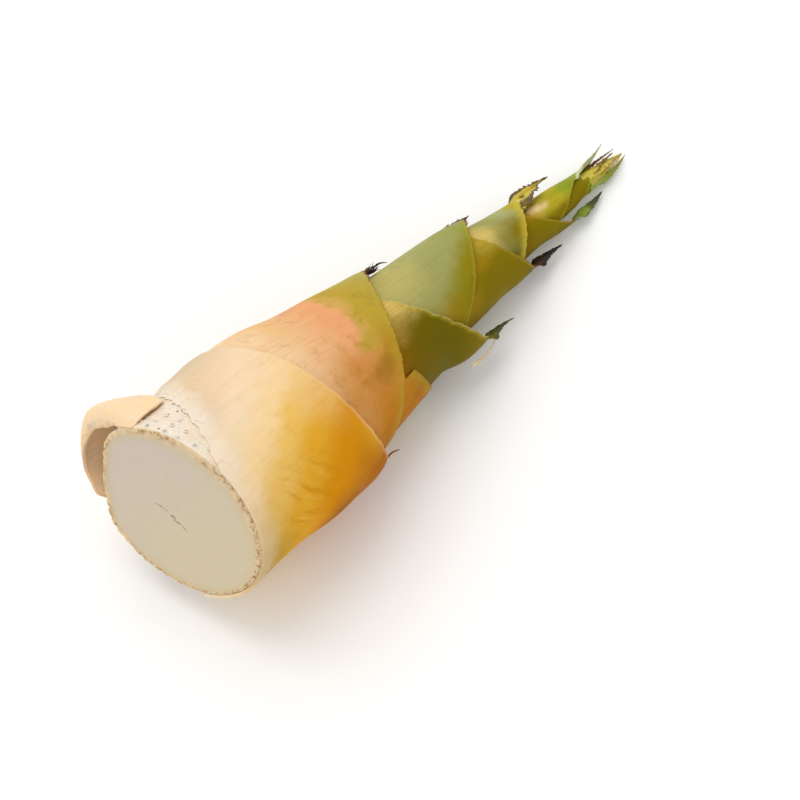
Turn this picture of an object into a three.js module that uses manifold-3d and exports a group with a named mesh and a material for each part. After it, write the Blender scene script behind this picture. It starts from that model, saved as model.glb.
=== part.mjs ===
// Bamboo shoot, cut across its foot and lying on its side.
// Millimetres, +Z up; +X runs level from the cut foot to the tip. The origin is under the middle of
// the shoot's box, on the surface it lies on.
//
// Every point is first given by its height up the stem, its bearing round the stem (degrees) and its
// distance from the stem's centre line. Even sheaths point up on the side of bearing 0, odd ones on
// the side of bearing 180.
import * as THREE from 'three';
import { mergeVertices } from 'three/addons/utils/BufferGeometryUtils.js';
import Module from 'manifold-3d';

const wasm = await Module();
wasm.setup();

// ---- how it lies ----
const LIE_SLOPE = 9.9; // degrees the centre line drops toward the tip
const UP_BEARING = 65; // the bearing that faces straight up
const REST = { height: 75, depth: 40.9, block: 40 }; // where the lowest sheath is pressed flat

// ---- overall shape ----
const GAP = 0.35; // clear space between two pieces
const BEND = {
  foot: 1.3, rise: 1.5, riseFrom: 10, riseLength: 25, fade: 3.0, fadeFrom: 180, fadeLength: 90,
};
const CUT = { height: 4.4, sideSlope: -0.084, frontSlope: 0.1225 };
// [height, radius] of the shell that the sheaths are laid inward from
const SHELL = [
  [-6, 42.2], [36, 41.8], [60, 43.2], [70, 42.6], [80, 40.8], [90, 38.4], [110, 35.4], [130, 32.4],
  [150, 30.4], [180, 28.2], [200, 25.6], [225, 23.4], [240, 23.2], [258, 21.6], [272, 20.9], [300, 20.6],
];

// ---- the stem and the ring of root nubs at its foot ----
const FOOT_RADIUS = 40.1;
const STEM = { step: 10, rise: 18, top: 211, topRound: 3, clear: 0.6 };
const COLLAR = { height: 12.5, tilt: 14, bearing: -15 }; // the slanting ring the lowest sheath springs from
const NUB = { radius: 1.2, rise: 0.8, sink: 1.2, sides: 5, spacing: 9.5, wander: 2.2 };
const NUB_ROWS = [2.2, 6.4, 10.6, 14.8]; // heights above the cut
const NUB_EDGE = 2.5; // clear height under the collar
const NUB_SEED = 7;

// ---- the loose husk left at the foot ----
const HUSK = {
  from: -58, to: 28, lean: -10, reach: 46, wall: 1.3, radius: 42.6, flare: 11.8, fade: 2.1, trim: 3,
};
const HUSK_GRID = { columns: 10, rows: 5, below: 0.9 };

// ---- the sheaths, outermost first ----
// node: height it springs from; apex, bearing: its highest point; turn: which way its front edge runs;
// fall, power: how that edge drops over half a turn; backFall, backPower: the same for the tucked edge;
// inset: depth inside the shell; flare: how far the apex stands off; front, back: degrees it wraps
const SHEATHS = [
  { name: 'sheath_1', node: 0, apex: 97, bearing: 180, turn: -1, fall: 45, power: 0.72, backFall: 45,
    backPower: 0.72, inset: 0, wall: 1.5, flare: 2.0, front: 179.6, back: 179.6, columns: 36, rows: 6 },
  { name: 'sheath_2', node: 44, apex: 148, bearing: 0, turn: 1, fall: 53, power: 0.75, backFall: 16,
    backPower: 2.6, inset: 2.2, wall: 0.75, flare: -0.2, front: 190, back: 235, columns: 42, rows: 7 },
  { name: 'sheath_3', node: 70, apex: 169, bearing: 170, turn: -1, fall: 72, power: 0.98, backFall: 66,
    backPower: 0.9, inset: 4.6, wall: 0.7, flare: 4.2, front: 190, back: 190, columns: 38, rows: 7 },
  { name: 'sheath_4', node: 84, apex: 199, bearing: 0, turn: 1, fall: 56, power: 1.25, backFall: 60,
    backPower: 1.2, inset: 6.85, wall: 0.7, flare: 0, front: 190, back: 190, columns: 38, rows: 8 },
  { name: 'sheath_5', node: 105, apex: 214, bearing: 180, turn: -1, fall: 40, power: 0.95, backFall: 42,
    backPower: 0.95, inset: 8.95, wall: 0.65, flare: 1.6, front: 190, back: 190, columns: 38, rows: 8 },
  { name: 'sheath_6', node: 150, apex: 229, bearing: 10, turn: 1, fall: 32, power: 1.0, backFall: 34,
    backPower: 1.0, inset: 10.95, wall: 0.62, flare: 0.4, front: 190, back: 190, columns: 26, rows: 6 },
  { name: 'sheath_7', node: 170, apex: 249, bearing: 180, turn: -1, fall: 46, power: 0.85, backFall: 42,
    backPower: 0.85, inset: 12.8, wall: 0.6, flare: 1.0, front: 190, back: 190, columns: 26, rows: 6 },
  { name: 'sheath_8', node: 188, apex: 266, bearing: 15, turn: 1, fall: 40, power: 0.9, backFall: 40,
    backPower: 0.9, inset: 14.7, wall: 0.6, flare: 0.2, front: 190, back: 190, columns: 24, rows: 6 },
];
const FLARE = { below: 29, length: 17, sharpness: 1.4 };
const TUCK = { from: 20, length: 120 }; // degrees over which a sheath dips under its own front edge

// ---- the leaf blades, one at the apex of each sheath ----
// root: how far it starts below the apex; length, width; lift: how far the tip swings out from the wall;
// curl: how far its middle bows out; fold: depth of the crease along it; side: degrees it turns aside
const BLADES = {
  sheath_1: { root: 6, length: 5, width: 7, lift: 1.5, curl: 0, fold: 0.3, side: 0 },
  sheath_2: { root: 4, length: 5, width: 3, lift: 1.8, curl: 0.3, fold: 0.2, side: 0 },
  sheath_3: { root: 5, length: 11, width: 7, lift: 4.6, curl: -1, fold: 0.8, side: 12 },
  sheath_4: { root: 4, length: 4, width: 4, lift: 0, curl: 0, fold: 0.2, side: 0 },
  sheath_5: { root: 5, length: 13, width: 6, lift: 1.2, curl: 0.8, fold: 0.7, side: 10 },
  sheath_6: { root: 5, length: 20, width: 9, lift: -1.8, curl: 1.6, fold: 0.8, side: 4 },
  sheath_7: { root: 5, length: 15, width: 6, lift: -0.8, curl: 0.8, fold: 0.8, side: 8 },
  sheath_8: { root: 5, length: 16, width: 6.4, lift: 2.2, curl: 0, fold: 0.8, side: 0 },
};
const BLADE = { wall: 0.62, rootWall: 0.36, rows: 7, tipWidth: 0.5, taper: 0.8, unfold: 3 };

// ---- the rolled leaves at the tip, grown as one bud ----
const BUD = { base: 217, top: 272, inset: 16.6, round: 3, step: 20 };
const BUD_LEAVES = [
  { start: 268, bearing: 175, radius: 3.2, root: 8,
    length: 24, width: 5.4, lift: -0.6, curl: 0.6, fold: 0.9, side: 0 },
  { start: 268, bearing: 85, radius: 2.4, root: 8,
    length: 17, width: 4.4, lift: 0.2, curl: 0.3, fold: 0.6, side: -20 },
  { start: 268, bearing: 330, radius: 2.0, root: 8,
    length: 19, width: 3.4, lift: 0.4, curl: 0.2, fold: 0.5, side: 0 },
];

// ---- colours ----
const FINISH = {
  stem: { color: 0xd6c6a6, roughness: 0.55 },
  husk: { color: 0xf0d2a8, roughness: 0.6 },
  sheath_1: { color: 0xedc683, roughness: 0.45 },
  sheath_2: { color: 0xe8ae6a, roughness: 0.45 },
  sheath_3: { color: 0x8a7a1c, roughness: 0.45 },
  sheath_4: { color: 0xa8a25a, roughness: 0.5 },
  sheath_5: { color: 0x7d7426, roughness: 0.45 },
  sheath_6: { color: 0xa09a40, roughness: 0.45 },
  sheath_7: { color: 0x857c22, roughness: 0.45 },
  sheath_8: { color: 0xa6a340, roughness: 0.45 },
  bud: { color: 0x8f8a2e, roughness: 0.5 },
};

const radians = THREE.MathUtils.degToRad;
const degrees = THREE.MathUtils.radToDeg;
const smooth = (x) => THREE.MathUtils.smoothstep(x, 0, 1);
const mix = THREE.MathUtils.lerp;

// Value at x of the smooth curve through [x, value] pairs that never overshoots them.
function curveAt(pairs, x) {
  const last = pairs.length - 2;
  const found = pairs.findIndex(([edge], k) => k > 0 && x <= edge);
  const i = found < 0 ? last : found - 1;
  const slope = (k) => (pairs[k + 1][1] - pairs[k][1]) / (pairs[k + 1][0] - pairs[k][0]);
  const tangent = (k) => {
    if (k === 0 || k > last) {
      return 0;
    }
    const [before, after] = [slope(k - 1), slope(k)];
    return before * after > 0 ? (2 * before * after) / (before + after) : 0;
  };
  const width = pairs[i + 1][0] - pairs[i][0];
  const t = THREE.MathUtils.clamp((x - pairs[i][0]) / width, 0, 1);
  const [t2, t3] = [t * t, t * t * t];
  const ends = (2 * t3 - 3 * t2 + 1) * pairs[i][1] + (3 * t2 - 2 * t3) * pairs[i + 1][1];
  return ends + width * ((t3 - 2 * t2 + t) * tangent(i) + (t3 - t2) * tangent(i + 1));
}

const shell = (height) => curveAt(SHELL, height);

// Sideways shift of the centre line at a height.
function bend(height) {
  const rise = BEND.rise * (1 - Math.exp(-Math.max(height - BEND.riseFrom, 0) / BEND.riseLength));
  return BEND.foot + rise - BEND.fade * smooth((height - BEND.fadeFrom) / BEND.fadeLength);
}

// The point at a height, a bearing and a distance from the centre line, in the stem's own axes.
function stemPoint(height, bearing, radius) {
  const a = radians(bearing);
  return new THREE.Vector3(height, bend(height) + radius * Math.cos(a), radius * Math.sin(a));
}

// The point of the cut at a bearing and a distance from the middle of the foot.
function cutPoint(bearing, radius) {
  const a = radians(bearing);
  const side = BEND.foot + radius * Math.cos(a);
  const front = radius * Math.sin(a);
  return new THREE.Vector3(CUT.height + CUT.sideSlope * side + CUT.frontSlope * front, side, front);
}

// Height of the slanting collar at a bearing.
const collarHeight = (bearing) => COLLAR.height + COLLAR.tilt * Math.cos(radians(bearing - COLLAR.bearing));

// A solid from points and triangles, turned right way out.
function solid(points, faces) {
  const volume = faces.reduce((sum, [a, b, c]) => sum + points[a].dot(points[b].clone().cross(points[c])), 0);
  const turned = volume > 0 ? faces : faces.map(([a, b, c]) => [a, c, b]);
  return new wasm.Manifold(new wasm.Mesh({
    numProp: 3,
    vertProperties: new Float32Array(points.flatMap((p) => [p.x, p.y, p.z])),
    triVerts: new Uint32Array(turned.flat()),
  }));
}

// A curved wall, open along its sides, from outer[column][row] and the matching inner points.
function wall(outer, inner) {
  const rows = outer[0].length;
  const lastRow = rows - 1;
  const lastColumn = outer.length - 1;
  const out = (c, r) => c * rows + r;
  const back = (c, r) => (outer.length + c) * rows + r;
  const faces = [];
  const quad = (a, b, c, d) => faces.push([a, b, c], [a, c, d]);
  for (let c = 0; c < lastColumn; c += 1) {
    for (let r = 0; r < lastRow; r += 1) {
      quad(out(c, r), out(c + 1, r), out(c + 1, r + 1), out(c, r + 1));
      quad(back(c, r), back(c, r + 1), back(c + 1, r + 1), back(c + 1, r));
    }
    quad(back(c, 0), back(c + 1, 0), out(c + 1, 0), out(c, 0));
    quad(out(c, lastRow), out(c + 1, lastRow), back(c + 1, lastRow), back(c, lastRow));
  }
  for (let r = 0; r < lastRow; r += 1) {
    quad(back(0, r), out(0, r), out(0, r + 1), back(0, r + 1));
    quad(out(lastColumn, r), back(lastColumn, r), back(lastColumn, r + 1), out(lastColumn, r + 1));
  }
  return solid([...outer.flat(), ...inner.flat()], faces);
}

// A solid from rings of points, closed by one point at each end.
function spindle(rings, foot, tip) {
  const sides = rings[0].length;
  const lastRing = rings.length - 1;
  const points = [...rings.flat(), foot, tip];
  const at = (r, c) => r * sides + (c % sides);
  const faces = [];
  for (let c = 0; c < sides; c += 1) {
    for (let r = 0; r < lastRing; r += 1) {
      faces.push([at(r, c), at(r, c + 1), at(r + 1, c + 1)], [at(r, c), at(r + 1, c + 1), at(r + 1, c)]);
    }
    faces.push([points.length - 2, at(0, c + 1), at(0, c)]);
    faces.push([points.length - 1, at(lastRing, c), at(lastRing, c + 1)]);
  }
  return solid(points, faces);
}

// A leaf blade: a creased strip narrowing to its tip, its root sunk in the wall below its start.
function blade({ start, bearing, wallRadius, root, length, width, lift, curl, fold, side }) {
  const outer = [];
  const inner = [];
  for (const across of [-1, 0, 1]) {
    const [outerLine, innerLine] = [[], []];
    for (let n = 0; n <= BLADE.rows; n += 1) {
      const along = mix(-root, length, n / BLADE.rows);
      const out = Math.max(along, 0) / length;
      const half = Math.max(BLADE.tipWidth, (width / 2) * (1 - out) ** BLADE.taper);
      const opened = smooth(out * BLADE.unfold);
      const crease = across === 0 ? (fold * opened * half) / (width / 2) : 0;
      const radius = wallRadius(start + Math.min(along, 0));
      const middle = radius + lift * out * out + curl * 4 * out * (1 - out) - crease;
      const turned = bearing + side * out + degrees((across * half) / radius);
      const depth = mix(BLADE.rootWall, BLADE.wall, opened) / 2;
      outerLine.push(stemPoint(start + along, turned, middle + depth));
      innerLine.push(stemPoint(start + along, turned, middle - depth));
    }
    outer.push(outerLine);
    inner.push(innerLine);
  }
  return wall(outer, inner);
}

const overlapOf = (sheath) => (sheath.front + sheath.back > 360 ? sheath.wall + GAP : 0);

// Height of a sheath's edge, turned degrees from its apex; positive is toward its front edge.
function edgeHeight(sheath, turned) {
  const [fall, power] = turned >= 0 ? [sheath.fall, sheath.power] : [sheath.backFall, sheath.backPower];
  return sheath.apex - fall * (Math.abs(turned) / 180) ** power;
}

// Outer radius of a sheath.
function sheathRadius(sheath, height, turned) {
  const facing = Math.max(Math.cos(radians(turned)), 0) ** FLARE.sharpness;
  const risen = smooth((height - sheath.apex + FLARE.below) / FLARE.length);
  const tucked = smooth((-turned - TUCK.from) / TUCK.length) * overlapOf(sheath);
  return shell(height) - sheath.inset + sheath.flare * facing * risen - tucked;
}

// Radius of the room left inside a sheath.
function roomInside(sheath, height) {
  return shell(height) - sheath.inset - sheath.wall - overlapOf(sheath) - STEM.clear;
}

function sheathSolid(sheath) {
  const outer = [];
  const inner = [];
  for (let c = 0; c <= sheath.columns; c += 1) {
    const turned = mix(-sheath.back, sheath.front, c / sheath.columns);
    const bearing = sheath.bearing + sheath.turn * turned;
    const atCut = cutPoint(bearing, shell(0));
    const foot = sheath.node > 0 ? sheath.node + GAP : Math.max(collarHeight(bearing), atCut.x);
    const edge = edgeHeight(sheath, turned);
    const heights = Array.from({ length: sheath.rows + 1 }, (_, r) => mix(foot, edge, r / sheath.rows));
    const radii = heights.map((height) => sheathRadius(sheath, height, turned));
    outer.push(heights.map((height, r) => stemPoint(height, bearing, radii[r])));
    inner.push(heights.map((height, r) => stemPoint(height, bearing, radii[r] - sheath.wall)));
  }
  const wallRadius = (height) => sheathRadius(sheath, height, 0) - sheath.wall / 2;
  const leaf = BLADES[sheath.name];
  const place = { start: sheath.apex, bearing: sheath.bearing, wallRadius, side: leaf.side * sheath.turn };
  return wall(outer, inner).add(blade({ ...leaf, ...place }));
}

// A repeatable run of numbers from 0 to 1.
function seeded(seed) {
  let state = seed;
  return () => {
    state = (state * 16807) % 2147483647;
    return state / 2147483647;
  };
}

// A root nub: a blunt cone standing out of the stem.
function nub(height, bearing) {
  const ring = (radius, rise) => Array.from({ length: NUB.sides }, (_, n) => {
    const a = (n / NUB.sides) * 2 * Math.PI;
    const turned = bearing + degrees((radius * Math.sin(a)) / FOOT_RADIUS);
    return stemPoint(height + radius * Math.cos(a), turned, FOOT_RADIUS + rise);
  });
  const rings = [ring(NUB.radius * 1.2, -NUB.sink), ring(NUB.radius / 2, NUB.rise)];
  const foot = stemPoint(height, bearing, FOOT_RADIUS - NUB.sink);
  return spindle(rings, foot, stemPoint(height, bearing, FOOT_RADIUS + NUB.rise));
}

// The nubs on the bare band between the cut and the collar, clear of the husk.
function nubs() {
  const random = seeded(NUB_SEED);
  const grown = [];
  const lastBearing = HUSK.from + 360 - NUB.spacing / 2;
  for (let bearing = HUSK.to + NUB.spacing; bearing < lastBearing; bearing += NUB.spacing) {
    for (const row of NUB_ROWS) {
      const turned = bearing + (random() - 0.5) * NUB.wander * 2;
      const height = cutPoint(turned, FOOT_RADIUS).x + row + (random() - 0.5) * NUB.wander / 2;
      if (height + NUB_EDGE < collarHeight(turned)) {
        grown.push(nub(height, turned));
      }
    }
  }
  return grown;
}

function stemSolid() {
  const bearings = Array.from({ length: 360 / STEM.step }, (_, n) => n * STEM.step);
  const ring = (height, radius) => bearings.map((bearing) => stemPoint(height, bearing, radius));
  const rings = [bearings.map((bearing) => cutPoint(bearing, FOOT_RADIUS))];
  SHEATHS.forEach((sheath, n) => {
    const start = sheath.node || STEM.rise;
    const end = SHEATHS[n + 1] ? SHEATHS[n + 1].node : STEM.top;
    const spans = Math.ceil((end - start) / STEM.rise);
    for (let k = 0; k <= spans; k += 1) {
      const height = mix(start, end, k / spans);
      rings.push(ring(height, roomInside(sheath, height)));
    }
  });
  const body = spindle(rings, cutPoint(0, 0), stemPoint(STEM.top + STEM.topRound, 0, 0));
  return nubs().reduce((grown, one) => grown.add(one), body);
}

function huskSolid() {
  const outer = [];
  const inner = [];
  for (let c = 0; c <= HUSK_GRID.columns; c += 1) {
    const bearing = mix(HUSK.from, HUSK.to, c / HUSK_GRID.columns);
    const swing = HUSK.flare * smooth(1 - Math.abs(bearing - HUSK.lean) / HUSK.reach);
    const foot = cutPoint(bearing, HUSK.radius + swing);
    const bottom = foot.x + (HUSK.trim * swing) / HUSK.flare;
    const top = collarHeight(bearing) - HUSK_GRID.below;
    const line = (depth) => Array.from({ length: HUSK_GRID.rows + 1 }, (_, r) => {
      const risen = r / HUSK_GRID.rows;
      const radius = HUSK.radius + swing * (1 - risen ** HUSK.fade) - depth;
      return stemPoint(mix(bottom, top, risen), bearing, radius);
    });
    outer.push(line(0));
    inner.push(line(HUSK.wall));
  }
  return wall(outer, inner);
}

function budSolid() {
  const bearings = Array.from({ length: 360 / BUD.step }, (_, n) => n * BUD.step);
  const ring = (height, inset) => bearings.map((b) => stemPoint(height, b, shell(height) - inset));
  const rings = [ring(BUD.base, BUD.inset), ring(mix(BUD.base, BUD.top, 0.5), BUD.inset)];
  rings.push(ring(BUD.top - BUD.round, BUD.inset), ring(BUD.top, BUD.inset + BUD.round / 2));
  const foot = stemPoint(BUD.base, 0, 0);
  const body = spindle(rings, foot, stemPoint(BUD.top + BUD.round, 0, 0));
  const leaves = BUD_LEAVES.map((leaf) => blade({ ...leaf, wallRadius: () => leaf.radius }));
  return leaves.reduce((grown, leaf) => grown.add(leaf), body);
}

// From the stem's own axes to the level frame, with the rest plane at zero.
function layDown() {
  const slope = radians(LIE_SLOPE);
  const up = radians(UP_BEARING);
  const [drop, run] = [Math.sin(slope), Math.cos(slope)];
  const along = new THREE.Vector3(run, drop * Math.cos(up), drop * Math.sin(up));
  const above = new THREE.Vector3(-drop, run * Math.cos(up), run * Math.sin(up));
  const across = new THREE.Vector3().crossVectors(above, along);
  const turned = new THREE.Matrix4().makeBasis(along, across, above).transpose();
  const rest = stemPoint(REST.height, UP_BEARING + 180, REST.depth).applyMatrix4(turned);
  return new THREE.Matrix4().makeTranslation(0, 0, -rest.z).multiply(turned);
}

// Everything below the surface it lies on.
function ground(middle) {
  const half = REST.block / 2;
  const box = new THREE.BoxGeometry(REST.block, REST.block, REST.block);
  box.translate(middle.x, middle.y, -half);
  box.deleteAttribute('normal');
  box.deleteAttribute('uv');
  const merged = mergeVertices(box);
  return new wasm.Manifold(new wasm.Mesh({
    numProp: 3,
    vertProperties: new Float32Array(merged.attributes.position.array),
    triVerts: new Uint32Array(merged.index.array),
  }));
}

function meshOf(name, shape) {
  const { numProp, vertProperties, triVerts } = shape.getMesh();
  const geometry = new THREE.BufferGeometry();
  const positions = new Float32Array((vertProperties.length / numProp) * 3);
  for (let n = 0; n < positions.length / 3; n += 1) {
    positions.set(vertProperties.slice(n * numProp, n * numProp + 3), n * 3);
  }
  geometry.setAttribute('position', new THREE.BufferAttribute(positions, 3));
  geometry.setIndex(new THREE.BufferAttribute(new Uint32Array(triVerts), 1));
  geometry.computeVertexNormals();
  const mesh = new THREE.Mesh(geometry, new THREE.MeshStandardMaterial({ ...FINISH[name], metalness: 0 }));
  mesh.name = name;
  return mesh;
}

const lay = layDown();
const settle = (shape) => shape.transform(lay.elements);
const underside = stemPoint(REST.height, UP_BEARING + 180, REST.depth).applyMatrix4(lay);

const shapes = {
  stem: settle(stemSolid()),
  husk: settle(huskSolid()),
  ...Object.fromEntries(SHEATHS.map((sheath) => [sheath.name, settle(sheathSolid(sheath))])),
  bud: settle(budSolid()),
};
shapes.sheath_1 = shapes.sheath_1.subtract(ground(underside));

const shoot = new THREE.Group();
shoot.name = 'bamboo_shoot';
for (const [name, shape] of Object.entries(shapes)) {
  shoot.add(meshOf(name, shape));
}
const box = new THREE.Box3().setFromObject(shoot);
const middle = box.getCenter(new THREE.Vector3());
for (const mesh of shoot.children) {
  mesh.geometry.translate(-middle.x, -middle.y, 0);
}

export default shoot;
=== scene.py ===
"""A bamboo shoot, cut across its foot and lying on its side.

Every point is first given by its height up the stem (millimetres), its bearing round the stem
(degrees) and its distance from the stem's centre line, and is then laid down in the shared frame.
"""
from __future__ import annotations

import logging
import math
from collections.abc import Callable
from dataclasses import dataclass
from enum import Enum

import bpy
import numpy as np
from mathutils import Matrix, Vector


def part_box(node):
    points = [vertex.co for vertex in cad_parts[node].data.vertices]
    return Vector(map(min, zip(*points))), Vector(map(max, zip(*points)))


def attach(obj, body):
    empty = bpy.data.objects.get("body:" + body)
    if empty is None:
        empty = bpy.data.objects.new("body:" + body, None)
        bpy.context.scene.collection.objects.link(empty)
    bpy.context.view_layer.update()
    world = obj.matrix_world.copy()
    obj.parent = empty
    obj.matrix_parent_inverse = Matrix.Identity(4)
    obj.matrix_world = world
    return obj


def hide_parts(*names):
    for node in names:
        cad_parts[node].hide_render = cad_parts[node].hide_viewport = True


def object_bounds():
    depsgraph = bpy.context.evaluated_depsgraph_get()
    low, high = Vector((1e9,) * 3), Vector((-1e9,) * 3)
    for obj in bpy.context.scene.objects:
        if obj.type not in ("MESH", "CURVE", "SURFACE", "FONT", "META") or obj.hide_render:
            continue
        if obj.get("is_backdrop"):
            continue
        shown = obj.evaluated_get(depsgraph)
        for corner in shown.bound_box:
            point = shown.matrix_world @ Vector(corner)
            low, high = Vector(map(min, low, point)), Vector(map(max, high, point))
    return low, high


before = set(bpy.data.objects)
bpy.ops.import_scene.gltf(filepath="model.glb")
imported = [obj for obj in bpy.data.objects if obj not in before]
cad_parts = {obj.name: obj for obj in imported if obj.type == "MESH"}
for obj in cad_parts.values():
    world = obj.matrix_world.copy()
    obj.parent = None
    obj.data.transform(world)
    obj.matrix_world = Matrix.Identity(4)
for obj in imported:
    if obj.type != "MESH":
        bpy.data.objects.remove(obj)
CAD_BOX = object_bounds()

MM = 0.001  # metres in a millimetre
BODY = "root"
log = logging.getLogger("bamboo_shoot")

Values = np.ndarray
Rule = Callable[[Values], Values]


class Tint(Enum):
    """The shoot's colours, as they show in daylight."""

    FLESH = "#d2c4a5"
    FLESH_COOL = "#ccbfb0"
    FLESH_WARM = "#d0b888"
    RIM_CREAM = "#e0c79c"
    FIBRE = "#9a622e"
    BAND = "#eee0cf"
    CREAM = "#e9d2b0"
    PINK_CREAM = "#efcca5"
    STRAW = "#efcf97"
    BUFF = "#f3d1a2"
    PEACH = "#e9c79c"
    GREY_CREAM = "#cdbb9c"
    YELLOW = "#e8bc60"
    GOLD = "#e0a62c"
    DEEP_GOLD = "#d48c08"
    AMBER = "#a86204"
    APRICOT = "#e3b382"
    SALMON = "#e2a06e"
    ORANGE = "#d49434"
    BURNT_ORANGE = "#bc7a18"
    RUST = "#9c5a10"
    TAN = "#c4a050"
    BROWN = "#7a4a20"
    DARK_BROWN = "#3f2512"
    BLACK_BROWN = "#21150c"
    PURPLE_BROWN = "#94664c"
    ROSE_BROWN = "#c49c7c"
    CLAY = "#fbab7a"
    PALE_OLIVE = "#cfb768"
    OLIVE_YELLOW = "#b49a34"
    MUSTARD = "#a27f10"
    OLIVE = "#7f6e08"
    BROWN_OLIVE = "#745b03"
    DEEP_OLIVE = "#665c06"
    MOSS = "#8a7e14"
    GREY_GREEN = "#97934e"
    SAGE = "#9a9a5c"
    PALE_SAGE = "#a5a66c"
    LIME = "#cdb93e"
    LEAF_GREEN = "#89982a"
    YELLOW_GREEN = "#b0a22a"
    PALE_GREEN = "#a2a766"
    PALE_LEAF = "#c2cc92"
    DARK_GREEN = "#3f451a"
    PAPER = "#e4cda4"

    @property
    def linear(self) -> tuple[float, float, float, float]:
        """The colour as linear red, green and blue, with full alpha.

        Returns:
            Red, green, blue and alpha, each from 0 to 1.
        """
        parts = [int(self.value[k : k + 2], 16) / 255 for k in (1, 3, 5)]
        red, green, blue = (p / 12.92 if p <= 0.04045 else ((p + 0.055) / 1.055) ** 2.4 for p in parts)
        return red, green, blue, 1.0


class Turn(Enum):
    """Which way a sheath's front edge runs round the stem."""

    WITH_BEARING = 1
    AGAINST_BEARING = -1


def smooth(x: Values | float) -> Values:
    """Ease from 0 to 1 while x goes from 0 to 1."""
    t = np.clip(x, 0.0, 1.0)
    return t * t * (3.0 - 2.0 * t)


def mix(low: Values | float, high: Values | float, share: Values | float) -> Values:
    """The value a share of the way from low to high."""
    return low + (high - low) * share


def ripple(x: Values, seed: int, longest: float, octaves: int = 4) -> Values:
    """A smooth repeatable wander between about -1 and 1.

    Args:
        x: where it is read.
        seed: picks one wander among many.
        longest: the length of its longest wave, in the units of x.
        octaves: how many waves, each shorter than the last, are added.

    Returns:
        The wander at each x.
    """
    draw = np.random.default_rng(seed)
    total = np.zeros_like(np.asarray(x, float))
    for octave in range(octaves):
        wave = longest / (1.9**octave) * draw.uniform(0.85, 1.15)
        total = total + np.sin(2 * np.pi * x / wave + draw.uniform(0, 2 * np.pi)) * 0.62**octave
    return total / sum(0.62**octave for octave in range(octaves))


@dataclass(frozen=True)
class SmoothCurve:
    """A curve through (x, value) points that never overshoots them."""

    points: tuple[tuple[float, float], ...]

    def at(self, x: Values | float) -> Values:
        """The curve's value at x.

        Args:
            x: where it is read; past its ends it stays level.

        Returns:
            The value at each x.
        """
        xs, ys = np.array(self.points).T
        slope = np.diff(ys) / np.diff(xs)
        product = slope[:-1] * slope[1:]
        total = np.where(product > 0, slope[:-1] + slope[1:], 1.0)
        tangent = np.concatenate([[0.0], np.where(product > 0, 2 * product / total, 0.0), [0.0]])
        x = np.clip(x, xs[0], xs[-1])
        i = np.clip(np.searchsorted(xs, x) - 1, 0, len(xs) - 2)
        width = xs[i + 1] - xs[i]
        t = (x - xs[i]) / width
        ends = (2 * t**3 - 3 * t**2 + 1) * ys[i] + (3 * t**2 - 2 * t**3) * ys[i + 1]
        return ends + width * ((t**3 - 2 * t**2 + t) * tangent[i] + (t**3 - t**2) * tangent[i + 1])


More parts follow.
